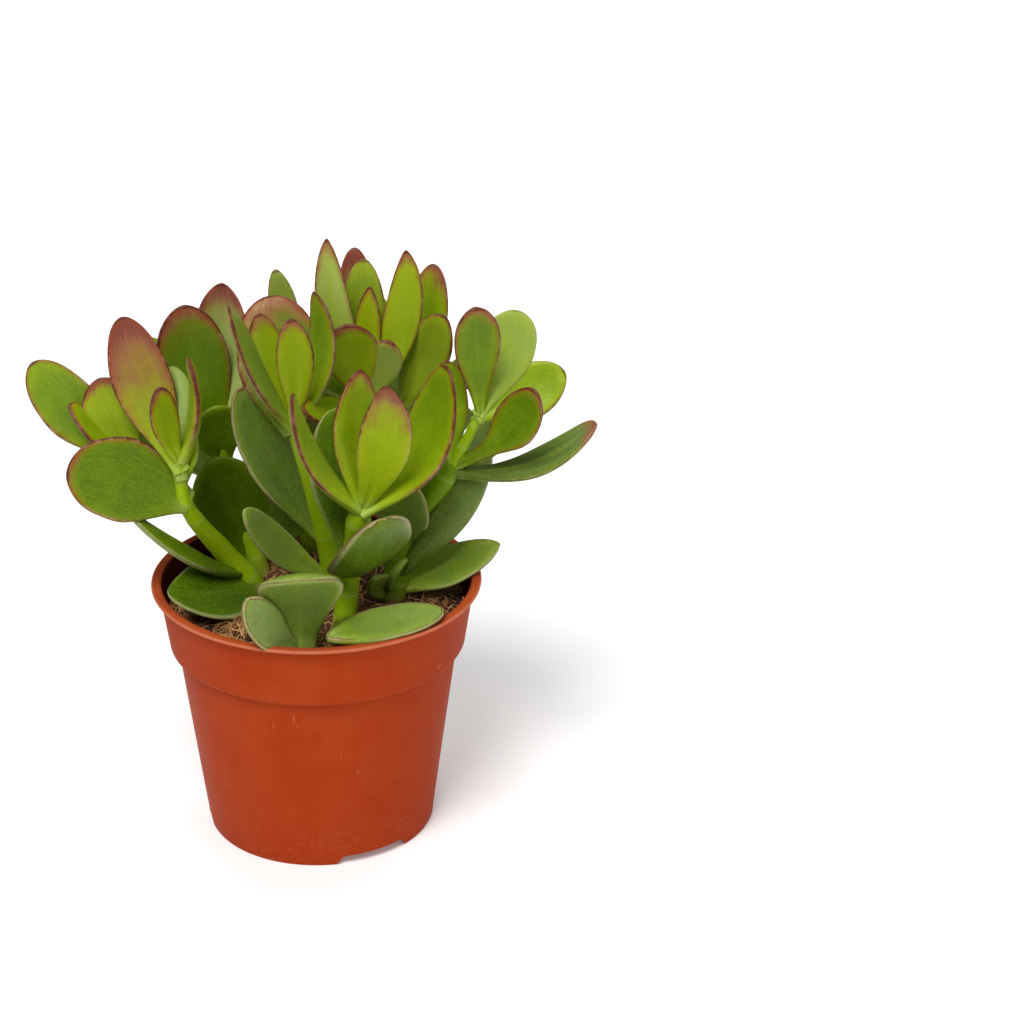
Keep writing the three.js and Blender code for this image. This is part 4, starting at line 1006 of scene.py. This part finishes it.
def leafLook(w):
    place = w.attribute("leafPlace", "Vector")
    across, face, t = [place.part(i) for i in range(3)]
    tone = w.attribute("leafTone", "Vector")
    age, blush, bloom = [tone.part(i) for i in range(3)]
    margin = w.attribute("leafRim", "Vector")
    rim, cork, rib = [margin.part(i) for i in range(3)]
    edge = w.attribute("leafEdge")
    seed = w.attribute("leafSeed")
    spot = w.objectPlace()
    shift = w.node("ShaderNodeCombineXYZ", {}, {0: seed * 37, 1: seed * 11, 2: seed * 53})
    own = spot.scaled(1000, 1000, 1000).moved(shift)
    streaks = w.noise(place.scaled(9, 0.5, 1.6).moved(shift), 1.0, 3, 0.6)
    patches = w.noise(own, 0.09, 3, 0.6)
    blots = w.noise(own, 0.3, 3, 0.65)
    fine = w.noise(own, 1.1, 2, 0.6)
    # Green: by age, lime towards the leaf's root and its edge, streaked lightly along its veins
    stage = age + (patches - 0.5) * 0.55 + (streaks - 0.5) * 0.2 + (seed - 0.5) * 0.08
    green = w.node("ShaderNodeValToRGB", {"stops": [(0.0, plant["young"][:3]), (0.5, plant["grown"][:3]),
                                                     (1.0, plant["old"][:3])]}, {0: stage})
    underneath = (0 - face).step(-0.1, 0.5)
    green = (underneath * (0.12 + 0.1 * age)).blend(green, plant["under"])
    # Lime towards the edge: partly the young leaf's own colour, partly a painted glow of light through the thin
    # margin
    limeEdgeAndGlow = (edge + (patches - 0.5) * 3).step(5.0, 0.6)
    green = (limeEdgeAndGlow * (0.34 - 0.26 * age)).blend(green, plant["lime"])
    nearRoot = t.step(0.34, 0.04) * (1 - age * 0.6)
    green = (nearRoot * 0.6).blend(green, plant["base"])
    # Painted highlight: a pale patch at the root of each leaf where it joins the stem
    green = (t.step(0.14, 0.03) * 0.5).blend(green, plant["stemPaleAndHighlight"])
    # Painted shade: old leaves darker towards their root, standing in for the shade among the leaves
    deep = t.step(0.8, 0.15) * age.step(0.55, 0.85)
    green = (deep * 0.5).blend(green, plant["deep"])
    waxy = (bloom - 0.1).orMore(0) * (0.5 + 0.9 * (patches - 0.4)) * (0.55 + 0.6 * t)
    green = waxy.blend(green, plant["bloom"])
    midrib = abs(across + (streaks - 0.5) * 0.12).step(0.16, 0.0) * t.step(1.0, 0.7)
    green = (midrib * (0.06 + 0.5 * rib)).blend(green, plant["vein"])
    combed = w.noise(place.scaled(26, 1, 1.2).moved(shift), 1.0, 2, 0.7).step(0.52, 0.72)
    green = (combed * rib * 0.6).blend(green, plant["bloom"])
    green = (fine.step(0.5, 0.66) * (0.04 + 0.12 * age)).blend(green, plant["vein"])
    green = (fine.step(0.5, 0.32) * 0.26 * age).blend(green, plant["old"])
    green = (blots.step(0.5, 0.3) * 0.3 * age).blend(green, plant["old"])
    threads = w.noise(place.scaled(34, 1, 2.5).moved(shift), 1.0, 2, 0.7)
    green = (threads.step(0.5, 0.34) * (0.28 - 0.2 * age)).blend(green, plant["grown"])
    green = (threads.step(0.52, 0.68) * 0.16).blend(green, plant["vein"])
    # Small pale water pores in rows
    pores = w.cells(own, 0.95).step(0.24, 0.08)
    green = (pores * (0.2 + 0.2 * age)).blend(green, plant["vein"])
    # Blush from the tip down: amber over the green, then dusky pink towards the tip and the edge
    reach = t + (patches - 0.5) * 0.4 + (streaks - 0.5) * 0.14 + (1 - edge * 0.2).orMore(0) * 0.16
    blushed = reach.step(0.98 - blush * 1.05, 1.22 - blush * 0.7) * blush.step(0.0, 0.1)
    colour = (blushed * 0.6).blend(green, plant["amber"])
    tinted = reach.step(1.04 - blush * 0.8, 1.18 - blush * 0.42) * blush.step(0.0, 0.1)
    colour = (tinted * 0.85).blend(colour, plant["blush"])
    colour = (combed * blushed * 0.24).blend(colour, plant["lip"])
    ripe = (reach + (streaks - 0.5) * 0.3).step(0.98 - blush * 0.3, 1.22 - blush * 0.3) * blush.step(0.0, 0.3)
    colour = (ripe * 0.75).blend(colour, plant["ripe"])
    # Red margin, uneven and fading towards the root: orange inwards, maroon at the edge, and a paler
    # line on the rounded side itself, which is a painted sheen of light on the thick margin
    ragged = edge + (blots - 0.5) * 0.7
    uneven = rim * (0.3 + 1.4 * w.noise(own, 0.13, 2, 0.5))
    along = (t + (patches - 0.5) * 0.5).step(0.08, 0.6)
    glow = ragged.step(0.3 + 2.0 * uneven, 0.1) * rim.step(0.15, 0.9) * along
    colour = (glow * 0.62).blend(colour, plant["glow"])
    redEdge = ragged.step(0.1 + 0.62 * uneven, 0.22 * uneven) * rim.step(0.12, 0.6) * along
    colour = (redEdge * 0.9).blend(colour, plant["rim"])
    tipSpot = t.step(0.972, 0.988) * rim.step(0.12, 0.6)
    colour = (tipSpot * 0.8).blend(colour, plant["rim"])
    # Painted sheen: a pale line on the rounded side of the margin, pink on red-rimmed leaves and dry-coloured on
    # others
    sheenTone = rim.step(0.1, 0.7).blend(plant["dry"], plant["lip"])
    flankSheen = abs(face).step(0.5, 0.3) * t.step(0.1, 0.45) * blots.step(0.42, 0.62)
    colour = (flankSheen * (0.25 + 0.15 * rim)).blend(colour, sheenTone)
    apexTone = rim.step(0.1, 0.5).blend(plant["corkDark"], plant["rim"])
    apex = (abs(face) + (fine - 0.5) * 0.1).step(0.2, 0.08) * along
    colour = (apex * (0.25 + 0.6 * rim)).blend(colour, apexTone)
    flat = abs(face).step(0.3, 0.55)
    # Old leaves: a thin dry line along the margin, corky in places, with a brown line inside it
    brown = (abs(face) + (blots - 0.5) * 0.12).step(0.26, 0.14) * cork.step(0.1, 0.6) * along
    dry = abs(face).step(0.55, 0.4) * cork.step(0.0, 0.3) * along
    colour = (dry * (0.35 + 0.3 * blots)).blend(colour, plant["dry"])
    colour = (brown * 0.75).blend(colour, plant["corkDark"])
    worn = (blots * 0.4 + patches * 0.6 + cork * 0.26).step(0.62, 0.70) * cork.step(0.0, 0.2)
    flaky = ragged + (fine - 0.5) * 0.5 - cork * 0.5
    corky = flaky.step(0.30, 0.1) * worn * flat
    scab = flaky.step(0.8, 0.5) * worn * flat
    colour = (scab * 0.7).blend(colour, plant["corkDark"])
    colour = (corky * 0.85).blend(colour, plant["cork"])
    cracks = w.noise(own, 1.3, 3, 0.7).step(0.5, 0.62)
    colour = (corky * cracks * 0.6).blend(colour, plant["corkDark"])
    roughness = 0.27 + 0.16 * patches + 0.16 * bloom + 0.3 * corky - 0.04 * blushed
    height = w.noise(own, 2.6, 2, 0.6) * 0.3 + pores * 0.3 + streaks * 0.5 + patches * 1.8 + corky * fine * 2
    return {"Base Color": colour, "Roughness": roughness, "Normal": w.bump(height, 0.45, 0.0004)}


def stemLook(w):
    place = w.attribute("stemPlace", "Vector")
    ring = w.attribute("stemRing")
    spot = w.objectPlace()
    height = spot.part(2)
    streaks = w.noise(place.scaled(2.5, 2.5, 0.7), 1.4, 4, 0.6)
    patches = w.noise(spot, 95, 3, 0.6)
    tone = w.attribute("stemTone")
    colour = (streaks.step(0.4, 0.75) * 0.4).blend(plant["stem"], plant["base"])
    colour = (tone + (patches - 0.5) * 0.3).blend(colour, plant["grown"])
    low = (height + (patches - 0.5) * 0.03).step(0.100, 0.084)
    colour = (low * 0.7).blend(colour, plant["bark"])
    colour = (ring.step(0.6, 0.98) * 0.28).blend(colour, plant["stemPaleAndHighlight"])
    pores = w.cells(spot, 620).step(0.2, 0.08)
    colour = (pores * 0.25).blend(colour, plant["stemPaleAndHighlight"])
    roughness = 0.40 + 0.3 * low + 0.1 * patches
    height = streaks * 0.8 + pores * 0.3 + low * w.noise(spot, 900, 3, 0.7)
    return {"Base Color": colour, "Roughness": roughness, "Normal": w.bump(height, 0.35, 0.0005)}


softFlesh = {"Subsurface Weight": 0.1, "Subsurface Radius": (0.7, 1.0, 0.2), "Subsurface Scale": 0.002,
             "Specular IOR Level": 0.38, "Specular Tint": rgb(0.85, 0.9, 0.42)}
leafSkin = newMaterial("leaf_skin", leafLook, softFlesh)
stemSkin = newMaterial("stem_skin", stemLook, {"Specular IOR Level": 0.34, "Specular Tint": rgb(0.75, 0.85, 0.25)})


def makeLeafyStem(name, shoots, seed):
    dice = random.Random(seed)
    parts = []
    for shoot in shoots:
        line, share, long = shootLine(shoot["path"])
        stem = makeStem(line, share, long, shoot)
        stem.data.materials.append(stemSkin)
        parts.append(stem)
        for leaf in shoot["leaves"]:
            made = makeLeaf(alongLine(line, share, leaf["at"]), leaf, dice)
            made.data.materials.append(leafSkin)
            parts.append(made)
    piece = joined(parts, "jade_" + name)
    smoothByAngle(piece, 70)
    return piece


for seed, (name, shoots) in enumerate(leafyStems.items()):
    jade = makeLeafyStem(name, shoots, seed + 1)
    dress(jade, "jade_leaf", "leafy_stem_" + name)
    print("leafy stem", name, "done", len(jade.data.polygons))
bpy.data.objects.remove(leafPattern)
bpy.data.objects.remove(stemPattern)


# Stage: pale floor, soft light and the camera

stage = {
    "floor": rgb(0.92, 0.92, 0.92), "patch": rgb(0.82, 0.82, 0.81), "floorSize": 60, "floorGlow": 0.12,
    "worldStrength": 0.13,
    # Where each sun stands, its spread in degrees and its strength
    "lamps": {
        "key": ((-0.5, -1.05, 1.8), 28, 2.75),
        "fill": ((1.1, -1.0, 0.9), 50, 0.6),
        "top": ((0.1, 0.5, 1.5), 50, 1.0),
    },
    "eye": (0.0, -0.8239, 0.4919), "yaw": 4.922, "pitch": 24.164, "roll": 0.742, "lens": 2500 * 36 / 1024,
}


def floorLook(w):
    place = w.objectPlace()
    soft = w.noise(place, 3, 2)
    colour = (soft * 0.1).blend(stage["floor"], stage["patch"])
    return {"Base Color": colour, "Roughness": 0.6 + 0.1 * soft}


clearSelection()
bpy.ops.mesh.primitive_grid_add(x_subdivisions=4, y_subdivisions=4, size=stage["floorSize"], location=(0, 0, 0))
floor = bpy.context.object
floor.name = "floor"
floorGlow = {"Emission Color": rgb(1, 1, 1), "Emission Strength": stage["floorGlow"]}
floor.data.materials.append(newMaterial("pale_floor", floorLook, floorGlow))

world = bpy.data.worlds.new("soft_room")
bpy.context.scene.world = world
world.use_nodes = True
sky = next(n for n in world.node_tree.nodes if n.type == "BACKGROUND")
sky.inputs["Color"].default_value = (1, 1, 1, 1)
sky.inputs["Strength"].default_value = stage["worldStrength"]


def addLamp(name, place, spread, power):
    clearSelection()
    bpy.ops.object.light_add(type="SUN", location=place)
    lamp = bpy.context.object
    lamp.name = name
    lamp.data.angle = math.radians(spread)
    lamp.data.energy = power
    lamp.rotation_euler = (-Vector(place)).to_track_quat("-Z", "Y").to_euler()


for name, (place, spread, power) in stage["lamps"].items():
    addLamp(name, place, spread, power)

yaw, pitch, roll = [math.radians(stage[key]) for key in ("yaw", "pitch", "roll")]
forward = Vector((math.sin(yaw) * math.cos(pitch), math.cos(yaw) * math.cos(pitch), -math.sin(pitch)))
level = forward.cross(Vector((0, 0, 1))).normalized()
upward = level.cross(forward)
right = level * math.cos(roll) + upward * math.sin(roll)
top = upward * math.cos(roll) - level * math.sin(roll)
clearSelection()
bpy.ops.object.camera_add(location=stage["eye"])
camera = bpy.context.object
camera.data.sensor_width = 36
camera.data.lens = stage["lens"]
camera.data.clip_start = 0.01
camera.matrix_world = Matrix(((right.x, top.x, -forward.x, stage["eye"][0]),
                              (right.y, top.y, -forward.y, stage["eye"][1]),
                              (right.z, top.z, -forward.z, stage["eye"][2]),
                              (0, 0, 0, 1)))
bpy.context.scene.camera = camera
bpy.context.scene.view_settings.view_transform = "Standard"
print("stage done")
